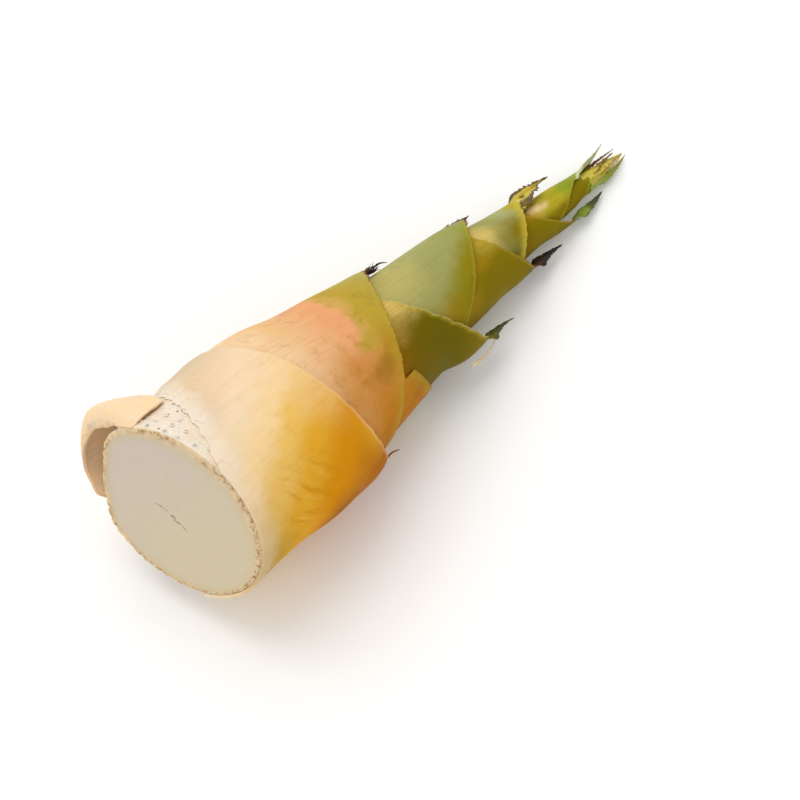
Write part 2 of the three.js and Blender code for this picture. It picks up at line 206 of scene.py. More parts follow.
@dataclass(frozen=True)
class StemLine:
    """The shoot's bent centre line, the shell round it, and how the whole lies on the surface."""

    lie_slope: float = 9.9
    up_bearing: float = 65.0
    rest_height: float = 75.0
    rest_depth: float = 40.9
    bend_foot: float = 1.3
    bend_rise: float = 1.5
    bend_rise_from: float = 10.0
    bend_rise_length: float = 25.0
    bend_fade: float = 3.0
    bend_fade_from: float = 180.0
    bend_fade_length: float = 90.0
    cut_height: float = 4.4
    cut_side_slope: float = -0.084
    cut_front_slope: float = 0.1225
    collar_height: float = 12.5
    collar_tilt: float = 14.0
    collar_bearing: float = -15.0
    relief: float = 0.7
    shell: SmoothCurve = SmoothCurve((
        (-6, 42.2), (36, 41.8), (60, 43.2), (70, 42.6), (80, 40.8), (90, 38.4), (110, 35.4),
        (130, 32.4), (150, 30.4), (180, 28.2), (200, 25.6), (225, 23.4), (240, 23.2),
        (258, 21.6), (272, 20.9), (300, 20.6),
    ))
    shift: tuple[float, float] = (0.0, 0.0)

    def bend(self, height: Values) -> Values:
        """Sideways shift of the centre line.

        Args:
            height: how far up the stem.

        Returns:
            The shift, in millimetres.
        """
        risen = 1 - np.exp(-np.maximum(height - self.bend_rise_from, 0) / self.bend_rise_length)
        faded = smooth((height - self.bend_fade_from) / self.bend_fade_length)
        return self.bend_foot + self.bend_rise * risen - self.bend_fade * faded

    def swell(self, height: Values, bearing: Values) -> Values:
        """Soft uneven waves that every layer shares.

        Args:
            height: how far up the stem.
            bearing: where round it.

        Returns:
            How far the shell stands out there; it is never above 0.
        """
        a = np.radians(bearing)
        waves = np.sin(2 * a + height / 17) + 0.7 * np.sin(3 * a - height / 11 + 1.2)
        waves = waves + 0.6 * np.sin(5 * a + height / 23 + 2.1) + 0.4 * np.sin(height / 6.5 - a)
        return -self.relief * (0.5 + 0.5 * waves / 2.7)

    def local(self, height: Values, bearing: Values, radius: Values) -> Values:
        """Points in the stem's own axes.

        Args:
            height: how far up the stem.
            bearing: where round it.
            radius: how far off its centre line.

        Returns:
            One row per point.
        """
        height, bearing, radius = np.broadcast_arrays(height, bearing, radius)
        a = np.radians(bearing)
        return np.stack([height, self.bend(height) + radius * np.cos(a), radius * np.sin(a)], axis=-1)

    def cut(self, bearing: Values, radius: Values) -> Values:
        """Points of the cut face.

        Args:
            bearing: where round the stem.
            radius: how far off its centre line.

        Returns:
            One row per point, in the stem's own axes.
        """
        a = np.radians(bearing)
        side = self.bend_foot + radius * np.cos(a)
        front = radius * np.sin(a)
        height = self.cut_height + self.cut_side_slope * side + self.cut_front_slope * front
        return np.stack([height, side, front], axis=-1)

    def collar(self, bearing: Values | float) -> Values:
        """Height of the lowest sheath's foot at a bearing."""
        return self.collar_height + self.collar_tilt * np.cos(np.radians(bearing - self.collar_bearing))

    def axes(self) -> Values:
        """How the stem lies.

        Returns:
            Rows: the directions along the foot-to-tip line, across it and straight up.
        """
        slope, up = math.radians(self.lie_slope), math.radians(self.up_bearing)
        run, drop = math.cos(slope), math.sin(slope)
        along = np.array([run, drop * math.cos(up), drop * math.sin(up)])
        above = np.array([-drop, run * math.cos(up), run * math.sin(up)])
        return np.stack([along, np.cross(above, along), above])

    def laid(self, points: Values) -> Values:
        """Lay points down on the surface.

        Args:
            points: points in the stem's own axes.

        Returns:
            The points in the shared frame, in metres.
        """
        rest = self.local(self.rest_height, self.up_bearing + 180, self.rest_depth)
        turned = points @ self.axes().T
        lift = (self.axes() @ rest)[2]
        return (turned + np.array([self.shift[0], self.shift[1], -lift])) * MM

    def place(self, height: Values, bearing: Values, radius: Values) -> Values:
        """Points in the shared frame, in metres."""
        return self.laid(self.local(height, bearing, radius))


@dataclass(frozen=True)
class Workshop:
    """The modelling steps that every piece goes through."""

    line: StemLine

    def clear_selection(self) -> None:
        """Leave object mode with nothing selected."""
        if bpy.context.object is not None and bpy.context.object.mode != "OBJECT":
            bpy.ops.object.mode_set(mode="OBJECT")
        bpy.ops.object.select_all(action="DESELECT")

    def take(self, piece: bpy.types.Object) -> None:
        """Select one piece alone and make it the active one.

        Args:
            piece: the piece.
        """
        self.clear_selection()
        piece.select_set(True)
        bpy.context.view_layer.objects.active = piece

    def edit(self, piece: bpy.types.Object, change: Callable[[], object]) -> None:
        """Change the whole of a piece in edit mode.

        Args:
            piece: the piece.
            change: what is done to it.
        """
        self.take(piece)
        bpy.ops.object.mode_set(mode="EDIT")
        bpy.ops.mesh.select_all(action="SELECT")
        change()
        bpy.ops.object.mode_set(mode="OBJECT")

    def grid(self, name: str, columns: int, rows: int) -> tuple[bpy.types.Object, Values, Values]:
        """A flat grid to be shaped into a sheet.

        Args:
            name: the piece's name.
            columns: faces along its first side.
            rows: faces along its second side.

        Returns:
            The piece, and each vertex's share of the way along the first and second side.
        """
        self.clear_selection()
        bpy.ops.mesh.primitive_grid_add(x_subdivisions=columns, y_subdivisions=rows, size=1.0)
        piece = bpy.context.object
        piece.name = piece.data.name = name
        flat = self.points(piece)
        return piece, flat[:, 0] + 0.5, flat[:, 1] + 0.5

    def ball(self, name: str, segments: int, rings: int) -> tuple[bpy.types.Object, Values, Values]:
        """A ball to be shaped into a closed body.

        Args:
            name: the piece's name.
            segments: faces round it.
            rings: faces from pole to pole.

        Returns:
            The piece, each vertex's share of the way from the lower pole to the upper one, and its
            bearing in degrees.
        """
        self.clear_selection()
        bpy.ops.mesh.primitive_uv_sphere_add(segments=segments, ring_count=rings, radius=1.0)
        piece = bpy.context.object
        piece.name = piece.data.name = name
        p = self.points(piece)
        share = np.arccos(np.clip(-p[:, 2], -1, 1)) / np.pi
        return piece, np.round(share * rings) / rings, np.degrees(np.arctan2(p[:, 1], p[:, 0]))

    def points(self, piece: bpy.types.Object) -> Values:
        """Read where the vertices are.

        Args:
            piece: the piece.

        Returns:
            One row per vertex.
        """
        flat = np.empty(len(piece.data.vertices) * 3)
        piece.data.vertices.foreach_get("co", flat)
        return flat.reshape(-1, 3)

    def move(self, piece: bpy.types.Object, points: Values) -> None:
        """Put the vertices at new points, none below the surface that the shoot lies on.

        Args:
            piece: the piece.
            points: one row per vertex, in metres.
        """
        points = points.copy()
        points[:, 2] = np.maximum(points[:, 2], 0.0)
        piece.data.vertices.foreach_set("co", points.ravel())
        piece.data.update()

    def tag(self, piece: bpy.types.Object, **fields: Values) -> None:
        """Give each vertex named values that the finishes read.

        Args:
            piece: the piece.
            **fields: one value per vertex, or one for all, by name.
        """
        for name, values in fields.items():
            made = piece.data.attributes.new(name, "FLOAT", "POINT")
            filled = np.broadcast_to(values, len(piece.data.vertices)).astype(np.float32)
            made.data.foreach_set("value", np.ascontiguousarray(filled))

    def face_outward(self, piece: bpy.types.Object, outward: Values) -> None:
        """Flip the faces if they look inward.

        Args:
            piece: the piece.
            outward: the outward direction at each vertex.
        """
        normals = np.empty(len(piece.data.vertices) * 3)
        piece.data.vertices.foreach_get("normal", normals)
        if (normals.reshape(-1, 3) * outward).sum() < 0:
            self.edit(piece, bpy.ops.mesh.flip_normals)

    def thicken(self, piece: bpy.types.Object, wall: float, taper: Values, offset: float = -1.0,
                inner: int = 0, rim: int = 0) -> None:
        """Give a sheet its wall.

        Args:
            piece: the sheet.
            wall: its full thickness, in millimetres.
            taper: each vertex's share of the full thickness.
            offset: -1 puts the wall behind the sheet, 0 to both sides of it.
            inner: how many material slots further on the inside is dressed.
            rim: how many material slots further on the rim is dressed.
        """
        group = piece.vertex_groups.new(name="wall")
        steps = np.round(np.clip(taper, 0, 1) * 20).astype(int)
        for step in np.unique(steps):
            group.add(np.nonzero(steps == step)[0].tolist(), float(step) / 20, "REPLACE")
        self.take(piece)
        made = piece.modifiers.new("wall", "SOLIDIFY")
        made.thickness = wall * MM
        made.offset = offset
        made.vertex_group = group.name
        made.thickness_vertex_group = 0.05
        made.material_offset = inner
        made.material_offset_rim = rim
        bpy.ops.object.modifier_apply(modifier=made.name)
        piece.vertex_groups.clear()

    def soften(self, piece: bpy.types.Object, angle: float = 50.0) -> None:
        """Shade the piece smooth, with its edges above the angle left crisp."""
        self.take(piece)
        bpy.ops.object.shade_smooth_by_angle(angle=math.radians(angle))

    def joined(self, pieces: list[bpy.types.Object], name: str) -> bpy.types.Object:
        """Make several pieces one.

        Args:
            pieces: the pieces.
            name: the name of the whole.

        Returns:
            The whole.
        """
        self.clear_selection()
        for piece in pieces:
            piece.select_set(True)
        bpy.context.view_layer.objects.active = pieces[0]
        if len(pieces) > 1:
            bpy.ops.object.join()
        whole = bpy.context.view_layer.objects.active
        whole.name = whole.data.name = name
        return whole

    def hand_over(self, piece: bpy.types.Object, slot: str, replaced: bool = True) -> None:
        """Attach a piece to its body and, if it replaces its node, hide that node.

        Args:
            piece: the finished piece.
            slot: the name of the node that it belongs to.
            replaced: whether the piece stands in for that node.
        """
        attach(piece, BODY)
        if replaced:
            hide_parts(slot)
        log.info("%s: %d faces", piece.name, len(piece.data.polygons))


Socket = bpy.types.NodeSocket
Input = Socket | float | tuple[float, ...] | Tint


class Paint:
    """A material's node tree, written as sums and layers of named patterns."""

    def __init__(self, name: str) -> None:
        """Start an empty material.

        Args:
            name: what the material is called.
        """
        self.material = bpy.data.materials.new(name)
        self.material.use_nodes = True
        self.tree = self.material.node_tree
        self.tree.nodes.clear()

    def node(self, kind: str, inputs: dict[str | int, Input | None] | None = None,
             **settings: object) -> bpy.types.Node:
        """Add a node.

        Args:
            kind: the node's type.
            inputs: what its sockets are linked to or set to, by name or number; None leaves one be.
            **settings: its own settings.

        Returns:
            The node.
        """
        added = self.tree.nodes.new(kind)
        for name, setting in settings.items():
            setattr(added, name, setting)
        for name, value in (inputs or {}).items():
            if value is not None:
                self.feed(added.inputs[name], value)
        return added

    def feed(self, socket: Socket, value: Input) -> None:
        """Link a socket to another, or set its value.

        Args:
            socket: the socket that takes the value.
            value: another socket, a number, a vector or a tint.
        """
        if isinstance(value, bpy.types.NodeSocket):
            self.tree.links.new(value, socket)
        else:
            socket.default_value = value.linear if isinstance(value, Tint) else value

    def field(self, name: str) -> Socket:
        """A value that the piece's vertices carry."""
        return self.node("ShaderNodeAttribute", attribute_name=name).outputs["Fac"]

    def place(self) -> Socket:
        """The point on the piece, in metres."""
        return self.node("ShaderNodeTexCoord").outputs["Object"]

    def sum(self, operation: str, *values: Input) -> Socket:
        """The result of a math operation on the values."""
        return self.node("ShaderNodeMath", dict(enumerate(values)), operation=operation).outputs[0]

    def plus(self, first: Input, *others: Input) -> Socket:
        """The values added up.

        Args:
            first: the first value.
            *others: what is added to it, in turn.

        Returns:
            The total.
        """
        for other in others:
            first = self.sum("ADD", first, other)
        return first

    def minus(self, value: Input, less: Input) -> Socket:
        """The value less another."""
        return self.sum("SUBTRACT", value, less)

    def times(self, value: Input, factor: Input) -> Socket:
        """The value times a factor."""
        return self.sum("MULTIPLY", value, factor)

    def spread(self, value: Input, reach: float) -> Socket:
        """A value from 0 to 1 turned into one from minus to plus half the reach."""
        return self.times(self.minus(value, 0.5), reach)

    def vector(self, *values: Input) -> Socket:
        """Two or three values as one vector."""
        return self.node("ShaderNodeCombineXYZ", dict(enumerate(values))).outputs[0]

    def noise(self, at: Socket, scale: float, detail: float = 3.0, rough: float = 0.5,
              warp: float = 0.0) -> Socket:
        """Cloudy noise from 0 to 1.

        Args:
            at: where it is read.
            scale: how fine it is.
            detail: how many finer noises are added to it.
            rough: how strong the finer ones are.
            warp: how far it is stirred.

        Returns:
            The noise.
        """
        given = {"Vector": at, "Scale": scale, "Detail": detail, "Roughness": rough, "Distortion": warp}
        return self.node("ShaderNodeTexNoise", given).outputs["Fac"]

    def cells(self, at: Socket, scale: float) -> Socket:
        """The distance to the nearest of a scatter of points."""
        return self.node("ShaderNodeTexVoronoi", {"Vector": at, "Scale": scale}).outputs["Distance"]

    def ease(self, value: Input, start: Input, end: Input, low: float = 0.0, high: float = 1.0) -> Socket:
        """Ease from one number to another while a value goes from start to end.

        Args:
            value: the value.
            start: where the ease begins.
            end: where it ends.
            low: the result up to the start.
            high: the result from the end on.

        Returns:
            The eased value.
        """
        given = {"Value": value, "From Min": start, "From Max": end, "To Min": low, "To Max": high}
        return self.node("ShaderNodeMapRange", given, interpolation_type="SMOOTHSTEP").outputs[0]

    def blend(self, share: Input, low: Input, high: Input, way: str = "MIX") -> Socket:
        """Two colours blended by a share."""
        given = {0: share, 6: low, 7: high}
        return self.node("ShaderNodeMix", given, data_type="RGBA", blend_type=way).outputs[2]

    def layered(self, color: Input, *layers: tuple[Input, Tint]) -> Socket:
        """A colour with others laid over it.

        Args:
            color: the ground colour.
            *layers: each layer's share at a point, and its tint, from the lowest up.

        Returns:
            The colour that shows.
        """
        for share, tint in layers:
            color = self.blend(share, color, tint)
        return color

    def ramp(self, value: Socket, stops: tuple[tuple[float, Tint], ...]) -> Socket:
        """Colours met in turn as a value goes from 0 to 1.

        Args:
            value: the value.
            stops: the value at which each tint is met.

        Returns:
            The colour.
        """
        added = self.node("ShaderNodeValToRGB", {0: value})
        added.color_ramp.interpolation = "EASE"
        marks = added.color_ramp.elements
        while len(marks) < len(stops):
            marks.new(0.5)
        for mark, (where, tint) in zip(marks, stops):
            mark.position = where
            mark.color = tint.linear
        return added.outputs[0]

    def bump(self, height: Socket, depth: float, before: Socket | None = None) -> Socket:
        """Fine relief, laid over earlier relief.

        Args:
            height: the pattern that stands out.
            depth: how far it stands out, in millimetres.
            before: the earlier relief.

        Returns:
            The relief.
        """
        given = {"Strength": 1.0, "Distance": depth * MM, "Height": height, "Normal": before}
        return self.node("ShaderNodeBump", given).outputs[0]

    def finish(self, color: Input, roughness: Input, relief: Socket | None = None, glow: float = 0.0,
               depth: float = 1.0, shine: float = 0.4) -> bpy.types.Material:
        """Close the tree with a surface.

        Args:
            color: the surface's colour.
            roughness: how matt it is.
            relief: its fine relief.
            glow: share of the light that passes through the tissue below the surface.
            depth: how far that light travels, in millimetres.
            shine: strength of its mirror reflections.

        Returns:
            The finished material.
        """
        given = {"Base Color": color, "Roughness": roughness, "Normal": relief,
                 "Specular IOR Level": shine, "Subsurface Weight": glow,
                 "Subsurface Radius": (1.0, 0.6, 0.3), "Subsurface Scale": depth * MM}
        surface = self.node("ShaderNodeBsdfPrincipled", given)
        self.node("ShaderNodeOutputMaterial", {"Surface": surface.outputs[0]})
        return self.material


@dataclass(frozen=True)
class Blush:
    """A soft-edged patch of another colour on a sheath.

    height and bearing are its middle, reach (millimetres) and spread (degrees) its half sizes. Some blushes
    are painted shade.
    """

    height: float
    bearing: float
    reach: float
    spread: float
    tint: Tint
    strength: float = 1.0

    def shown(self, paint: Paint, height: Socket, bearing: Socket) -> Socket:
        """How strongly it shows at each point.

        Args:
            paint: the material's node tree.
            height: the point's height up the stem.
            bearing: the point's bearing round the stem.

        Returns:
            Its share, from 0 to its strength.
        """
        aside = paint.sum("WRAP", paint.minus(bearing, self.bearing), 180.0, -180.0)
        aside = paint.sum("DIVIDE", aside, self.spread)
        above = paint.sum("DIVIDE", paint.minus(height, self.height), self.reach)
        away = paint.sum("SQRT", paint.plus(paint.times(above, above), paint.times(aside, aside)))
        return paint.ease(away, 1.3, 0.1, 0.0, self.strength)


@dataclass(frozen=True)
class Margin:
    """The dry line along a sheath's edge, and the paler lip below it."""

    tint: Tint
    width: float
    strength: float
    lip: Tint
    lip_width: float
    lip_strength: float


@dataclass(frozen=True)
class SheathFinish:
    """Waxy ribbed leaf tissue that changes colour up and round the sheath.

    stops are met in turn from the heights low to high; swing is how many millimetres further up
    the colours have moved at swing_bearing; wander is how raggedly they meet.
    """

    low: float
    high: float
    stops: tuple[tuple[float, Tint], ...]
    blushes: tuple[Blush, ...]
    margin: Margin
    vein: Tint
    vein_strength: float = 0.25
    mottle: Tint = Tint.BROWN
    mottle_strength: float = 0.12
    roughness: float = 0.5
    rib: float = 0.05
    wander: float = 5.0
    # The crease blush's tint is painted shade on the wrinkles' shadow sides.
    crease: Blush | None = None
    swing: float = 0.0
    swing_bearing: float = 160.0
    collar: Tint | None = None
    cloud_scale: float = 38.0
    drift_scale: float = 61.0
    blotch_scale: float = 150.0
    grain_scale: float = 900.0
    scar_scale: float = 240.0
    shred_scale: float = 300.0

    def ground(self, paint: Paint, height: Socket, bearing: Socket, facing: Socket) -> Socket:
        """The colour before its veins and marks.

        Args:
            paint: the material's node tree.
            height: the point's height up the stem, with its wander.
            bearing: its bearing round the stem, with its wander.
            facing: 1 where it faces swing_bearing, -1 on the far side.

        Returns:
            The colour.
        """
        swung = paint.plus(height, paint.times(facing, self.swing))
        risen = paint.node("ShaderNodeMapRange", {"Value": swung, "From Min": self.low,
                                                  "From Max": self.high})
        return paint.layered(paint.ramp(risen.outputs[0], self.stops),
                             *((blush.shown(paint, height, bearing), blush.tint)
                               for blush in self.blushes))

    def veined(self, paint: Paint, color: Socket, streaks: Socket, blotch: Socket) -> Socket:
        """The colour with its veins, its mottling and its flecks.

        Args:
            paint: the material's node tree.
            color: the ground colour.
            streaks: the pattern of its veins.
            blotch: the pattern of its mottling.

        Returns:
            The colour.
        """
        vein = paint.ease(streaks, 0.42, 0.68, 0.0, self.vein_strength)
        color = paint.layered(color, (vein, self.vein))
        pale = paint.ease(streaks, 0.44, 0.28, 0.0, self.vein_strength * 0.35)
        color = paint.blend(pale, color, Tint.CREAM, "SOFT_LIGHT")
        mottled = paint.ease(blotch, 0.52, 0.74, 0.0, self.mottle_strength)
        at = paint.vector(paint.times(paint.field("arc"), 0.5), paint.times(paint.field("height"), 0.2))
        fleck = paint.ease(paint.cells(at, 0.8), 0.11, 0.05)
        fleck = paint.times(fleck, paint.ease(blotch, 0.5, 0.62, 0.0, 0.55))
        return paint.layered(color, (mottled, self.mottle), (fleck, self.mottle))

    def edged(self, paint: Paint, color: Socket, streaks: Socket) -> Socket:
        """The colour with the lip and the dry line along the edge.

        Args:
            paint: the material's node tree.
            color: the colour away from the edge.
            streaks: the pattern that frays the edge.

        Returns:
            The colour.
        """
        edge = self.margin
        frayed = paint.plus(paint.field("margin"), paint.spread(streaks, 2.4))
        lip = paint.ease(frayed, edge.lip_width, 0.3, 0.0, edge.lip_strength)
        dry = paint.ease(frayed, edge.width, 0.1, 0.0, edge.strength)
        return paint.layered(color, (lip, edge.lip), (dry, edge.tint))

    def wrinkles(self, paint: Paint, cloud: Socket) -> Socket:
        """Slanting wrinkles where the tissue buckles.

        Args:
            paint: the material's node tree.
            cloud: the pattern that bends them.

        Returns:
            The pattern, from 0 to 1.
        """
        height, arc = paint.field("height"), paint.field("arc")
        over = paint.plus(paint.minus(paint.times(height, 0.78), paint.times(arc, 0.63)),
                          paint.times(cloud, 9.0))
        run = paint.plus(paint.times(arc, 0.078), paint.times(height, 0.063))
        return paint.noise(paint.vector(over, run), 0.42, 2.0, 0.55)

    def made(self, name: str) -> bpy.types.Material:
        """Make the material.

        Args:
            name: what it is called.

        Returns:
            The material.
        """
        paint = Paint(name)
        place = paint.place()
        height, arc = paint.field("height"), paint.field("arc")
        cloud = paint.minus(paint.noise(place, self.cloud_scale, 4.0, 0.6), 0.5)
        other = paint.minus(paint.noise(place, self.drift_scale, 4.0, 0.6, 0.4), 0.5)
        blotch = paint.noise(place, self.blotch_scale, 5.0, 0.65, 0.6)
        ragged = paint.spread(blotch, self.wander * 0.8)
        up = paint.plus(height, paint.times(cloud, self.wander * 3), ragged)
        turned = paint.plus(paint.field("bearing"), paint.times(other, self.wander * 5),
                            paint.times(ragged, 1.6))
        facing = paint.sum("COSINE", paint.sum("RADIANS", paint.minus(turned, self.swing_bearing)))
        streaks = paint.noise(paint.vector(arc, paint.times(height, 0.035), paint.times(cloud, 0.6)),
                              1.15, 3.0, 0.6)
        threads = paint.noise(paint.vector(arc, paint.times(height, 0.02)), 3.2, 1.0, 0.4)
        color = self.ground(paint, up, turned, facing)
        color = self.edged(paint, self.veined(paint, color, streaks, blotch), streaks)
        relief = paint.bump(streaks, self.rib * 2)
        relief = paint.bump(threads, self.rib * 0.5, relief)
        relief = paint.bump(paint.noise(place, self.grain_scale, 2.0), 0.03, relief)
        if self.collar is not None:
            torn = paint.ease(paint.plus(paint.field("foot"), paint.spread(blotch, 9.0)), 13.0, 1.0)
            torn = paint.times(torn, paint.ease(facing, 0.45, -0.3, 0.3, 0.85))
            scar = paint.ease(paint.noise(place, self.scar_scale, 4.0, 0.75, 0.8), 0.56, 0.7, 0.0, 0.8)
            color = paint.layered(color, (torn, self.collar), (paint.times(torn, scar), Tint.ROSE_BROWN))
            shreds = paint.noise(place, self.shred_scale, 4.0, 0.7)
            relief = paint.bump(paint.times(torn, shreds), 0.8, relief)
        if self.crease is not None:
            wrinkles = self.wrinkles(paint, cloud)
            shown = self.crease.shown(paint, up, turned)
            # Painted shade on the shadow sides of the wrinkles, in the crease tint, and painted highlight in
            # yellow on their ridges; the bump below is their real relief.
            shadow = paint.times(paint.ease(wrinkles, 0.55, 0.66, 0.0, 0.34), shown)
            painted_crest_highlight = paint.times(paint.ease(wrinkles, 0.44, 0.34, 0.0, 0.28), shown)
            color = paint.layered(color, (shadow, self.crease.tint), (painted_crest_highlight, Tint.YELLOW))
            relief = paint.bump(paint.times(wrinkles, shown), -1.2, relief)
        matt = paint.ease(blotch, 0.3, 0.7, self.roughness - 0.06, self.roughness + 0.1)
        return paint.finish(color, matt, relief, glow=0.08, depth=1.2, shine=0.02)


@dataclass(frozen=True)
class BladeFinish:
    """A leaf blade that dries from its green root to its tip and along its edges."""

    root: Tint
    tip: Tint
    edge: Tint
    dry_from: float
    edge_strength: float = 0.8
    edge_from: float = 0.62
    dry_over: float = 0.4
    edge_over: float = 0.33
    cloud_scale: float = 260.0

    def made(self, name: str) -> bpy.types.Material:
        """Make the material.

        Args:
            name: what it is called.

        Returns:
            The material.
        """
        paint = Paint(name)
        along, across = paint.field("along"), paint.field("across")
        cloud = paint.noise(paint.place(), self.cloud_scale, 4.0, 0.65, 0.4)
        dried = paint.ease(paint.plus(along, paint.spread(cloud, 0.5)), self.dry_from,
                           self.dry_from + self.dry_over)
        stripes = paint.vector(paint.times(across, 5.0), paint.times(along, 0.5))
        stripes = paint.noise(stripes, 1.6, 3.0, 0.6)
        worn = paint.ease(paint.plus(paint.sum("ABSOLUTE", across), paint.spread(cloud, 0.7)),
                          self.edge_from, self.edge_from + self.edge_over)
        worn = paint.times(worn, paint.ease(along, 0.02, 0.3))
        color = paint.layered(paint.blend(dried, self.root, self.tip),
                              (paint.ease(stripes, 0.45, 0.7, 0.0, 0.4), self.edge),
                              (paint.times(worn, self.edge_strength), self.edge))
        matt = paint.ease(cloud, 0.3, 0.7, 0.45, 0.65)
        return paint.finish(color, matt, paint.bump(stripes, 0.12), glow=0.08, depth=0.8)


@dataclass(frozen=True)
class FleshFinish:
    """Crisp moist flesh: the cut face, its fibrous rim and the bare band with its root nubs."""

    crack_at: tuple[float, float] = (1.5, -4.4)
    crack_bearing: float = -6.0
    crack_length: float = 19.0
    cloud_scale: float = 45.0
    grain_scale: float = 700.0
    fibre_scale: float = 420.0
    dent_scale: float = 160.0

    def crack(self, paint: Paint, side: Socket, front: Socket, place: Socket) -> Socket:
        """A thin wandering split near the middle of the cut.

        Args:
            paint: the material's node tree.
            side: how far the point is sideways on the cut, in millimetres.
            front: how far it is across that, in millimetres.
            place: the point on the piece.

        Returns:
            Its share, from 0 to 1.
        """
        turn = math.radians(self.crack_bearing)
        x, y = paint.minus(side, self.crack_at[0]), paint.minus(front, self.crack_at[1])
        run = paint.plus(paint.times(x, math.cos(turn)), paint.times(y, math.sin(turn)))
        off = paint.minus(paint.times(y, math.cos(turn)), paint.times(x, math.sin(turn)))
        wiggle = paint.spread(paint.noise(place, 190.0, 3.0, 0.7), 5.5)
        near = paint.ease(paint.sum("ABSOLUTE", paint.plus(off, wiggle)), 0.3, 0.08)
        inside = paint.ease(paint.sum("ABSOLUTE", run), self.crack_length / 2, self.crack_length / 2 - 3)
        broken = paint.ease(paint.noise(place, 250.0, 2.0), 0.42, 0.5)
        return paint.times(paint.times(near, inside), broken)

    def skin(self, paint: Paint, cloud: Socket, fibres: Socket, place: Socket) -> Socket:
        """The colour of the bare band.

        Args:
            paint: the material's node tree.
            cloud: the pattern of its paler parts.
            fibres: the pattern of its fibres.
            place: the point on the piece.

        Returns:
            The colour.
        """
        speckled = paint.ease(paint.noise(place, 220.0, 2.0), 0.46, 0.56, 0.0, 0.8)
        specks = paint.times(paint.ease(paint.cells(place, 340.0), 0.26, 0.14), speckled)
        return paint.layered(paint.blend(paint.ease(cloud, 0.35, 0.7), Tint.BAND, Tint.CREAM),
                             (paint.ease(fibres, 0.55, 0.75, 0.0, 0.3), Tint.ROSE_BROWN),
                             (specks, Tint.PURPLE_BROWN))

    def made(self, name: str) -> bpy.types.Material:
        """Make the material.

        Args:
            name: what it is called.

        Returns:
            The material.
        """
        paint = Paint(name)
        place = paint.place()
        side, front, face, nub = (paint.field(each) for each in ("side", "front", "face", "nub"))
        cloud = paint.noise(place, self.cloud_scale, 4.0, 0.6)
        grain = paint.noise(place, self.grain_scale, 3.0, 0.6)
        fibres = paint.noise(place, self.fibre_scale, 4.0, 0.75, 0.9)
        warm = paint.minus(paint.times(side, -0.022), paint.times(front, 0.004))
        warm = paint.ease(paint.plus(warm, paint.spread(cloud, 1.0)), -0.7, 0.5)
        strands = paint.noise(paint.vector(paint.times(side, 0.9), paint.times(front, 0.12)), 1.0)
        worn = paint.times(paint.field("rim"), paint.ease(front, -10.0, 34.0, 1.3, 0.55))
        worn = paint.plus(worn, paint.spread(fibres, 3.0))
        patchy = paint.ease(paint.noise(place, 95.0, 3.0), 0.4, 0.54)
        ring = paint.times(paint.ease(worn, 3.4, 1.6), paint.ease(fibres, 0.43, 0.6, 0.0, 0.85))
        split = paint.times(self.crack(paint, side, front, place), face)
        color = paint.layered(paint.blend(warm, Tint.FLESH_COOL, Tint.FLESH),
                              (paint.ease(strands, 0.4, 0.7, 0.0, 0.22), Tint.FLESH_WARM),
                              (paint.ease(worn, 7.0, 1.0, 0.0, 0.55), Tint.FLESH_WARM),
                              (paint.ease(worn, 3.4, 2.2, 0.0, 0.85), Tint.RIM_CREAM),
                              (paint.times(ring, patchy), Tint.FIBRE),
                              (paint.times(split, 0.65), Tint.BROWN))
        spot = paint.ease(paint.plus(nub, paint.spread(fibres, 1.6)), 0.3, 0.7, 0.0, 0.75)
        spot = paint.times(spot, paint.ease(nub, 0.03, 0.15))
        color = paint.blend(face, self.skin(paint, cloud, fibres, place), color)
        relief = paint.bump(grain, 0.05)
        relief = paint.bump(paint.noise(place, self.dent_scale, 3.0), 0.2, relief)
        relief = paint.bump(paint.times(paint.ease(worn, 3.0, 1.0), fibres), 0.6, relief)
        relief = paint.bump(paint.minus(1.0, split), 0.5, relief)
        matt = paint.ease(grain, 0.3, 0.7, 0.42, 0.62)
        return paint.finish(paint.layered(color, (spot, Tint.FIBRE)), matt, relief, glow=0.35, depth=4.0,
                            shine=0.3)


@dataclass(frozen=True)
class HuskFinish:
    """Dry papery leaf, pale outside and pink-brown inside."""

    base: Tint = Tint.BUFF
    shade: Tint = Tint.CREAM
    stain: Tint = Tint.ROSE_BROWN
    stain_strength: float = 0.25
    rib_strength: float = 0.25
    edge: Tint = Tint.FIBRE
    edge_strength: float = 0.3
    cloud_scale: float = 70.0
    blot_scale: float = 240.0

    def made(self, name: str) -> bpy.types.Material:
        """Make the material.

        Args:
            name: what it is called.

        Returns:
            The material.
        """
        paint = Paint(name)
        place = paint.place()
        cloud = paint.noise(place, self.cloud_scale, 4.0, 0.6, 0.3)
        ribs = paint.noise(paint.vector(paint.field("arc"), paint.times(paint.field("height"), 0.06)),
                           1.3, 3.0, 0.6)
        blot = paint.noise(place, self.blot_scale, 4.0, 0.7)
        worn = paint.plus(paint.field("margin"), paint.spread(blot, 3.0))
        color = paint.layered(paint.blend(paint.ease(cloud, 0.35, 0.7), self.base, self.shade),
                              (paint.ease(ribs, 0.5, 0.75, 0.0, self.rib_strength), self.stain),
                              (paint.ease(blot, 0.56, 0.72, 0.0, self.stain_strength), self.stain),
                              (paint.ease(worn, 0.8, 0.1, 0.0, self.edge_strength), self.edge))
        relief = paint.bump(blot, 0.1, paint.bump(ribs, 0.12))
        return paint.finish(color, paint.ease(blot, 0.3, 0.7, 0.52, 0.72), relief, glow=0.15, depth=1.5)


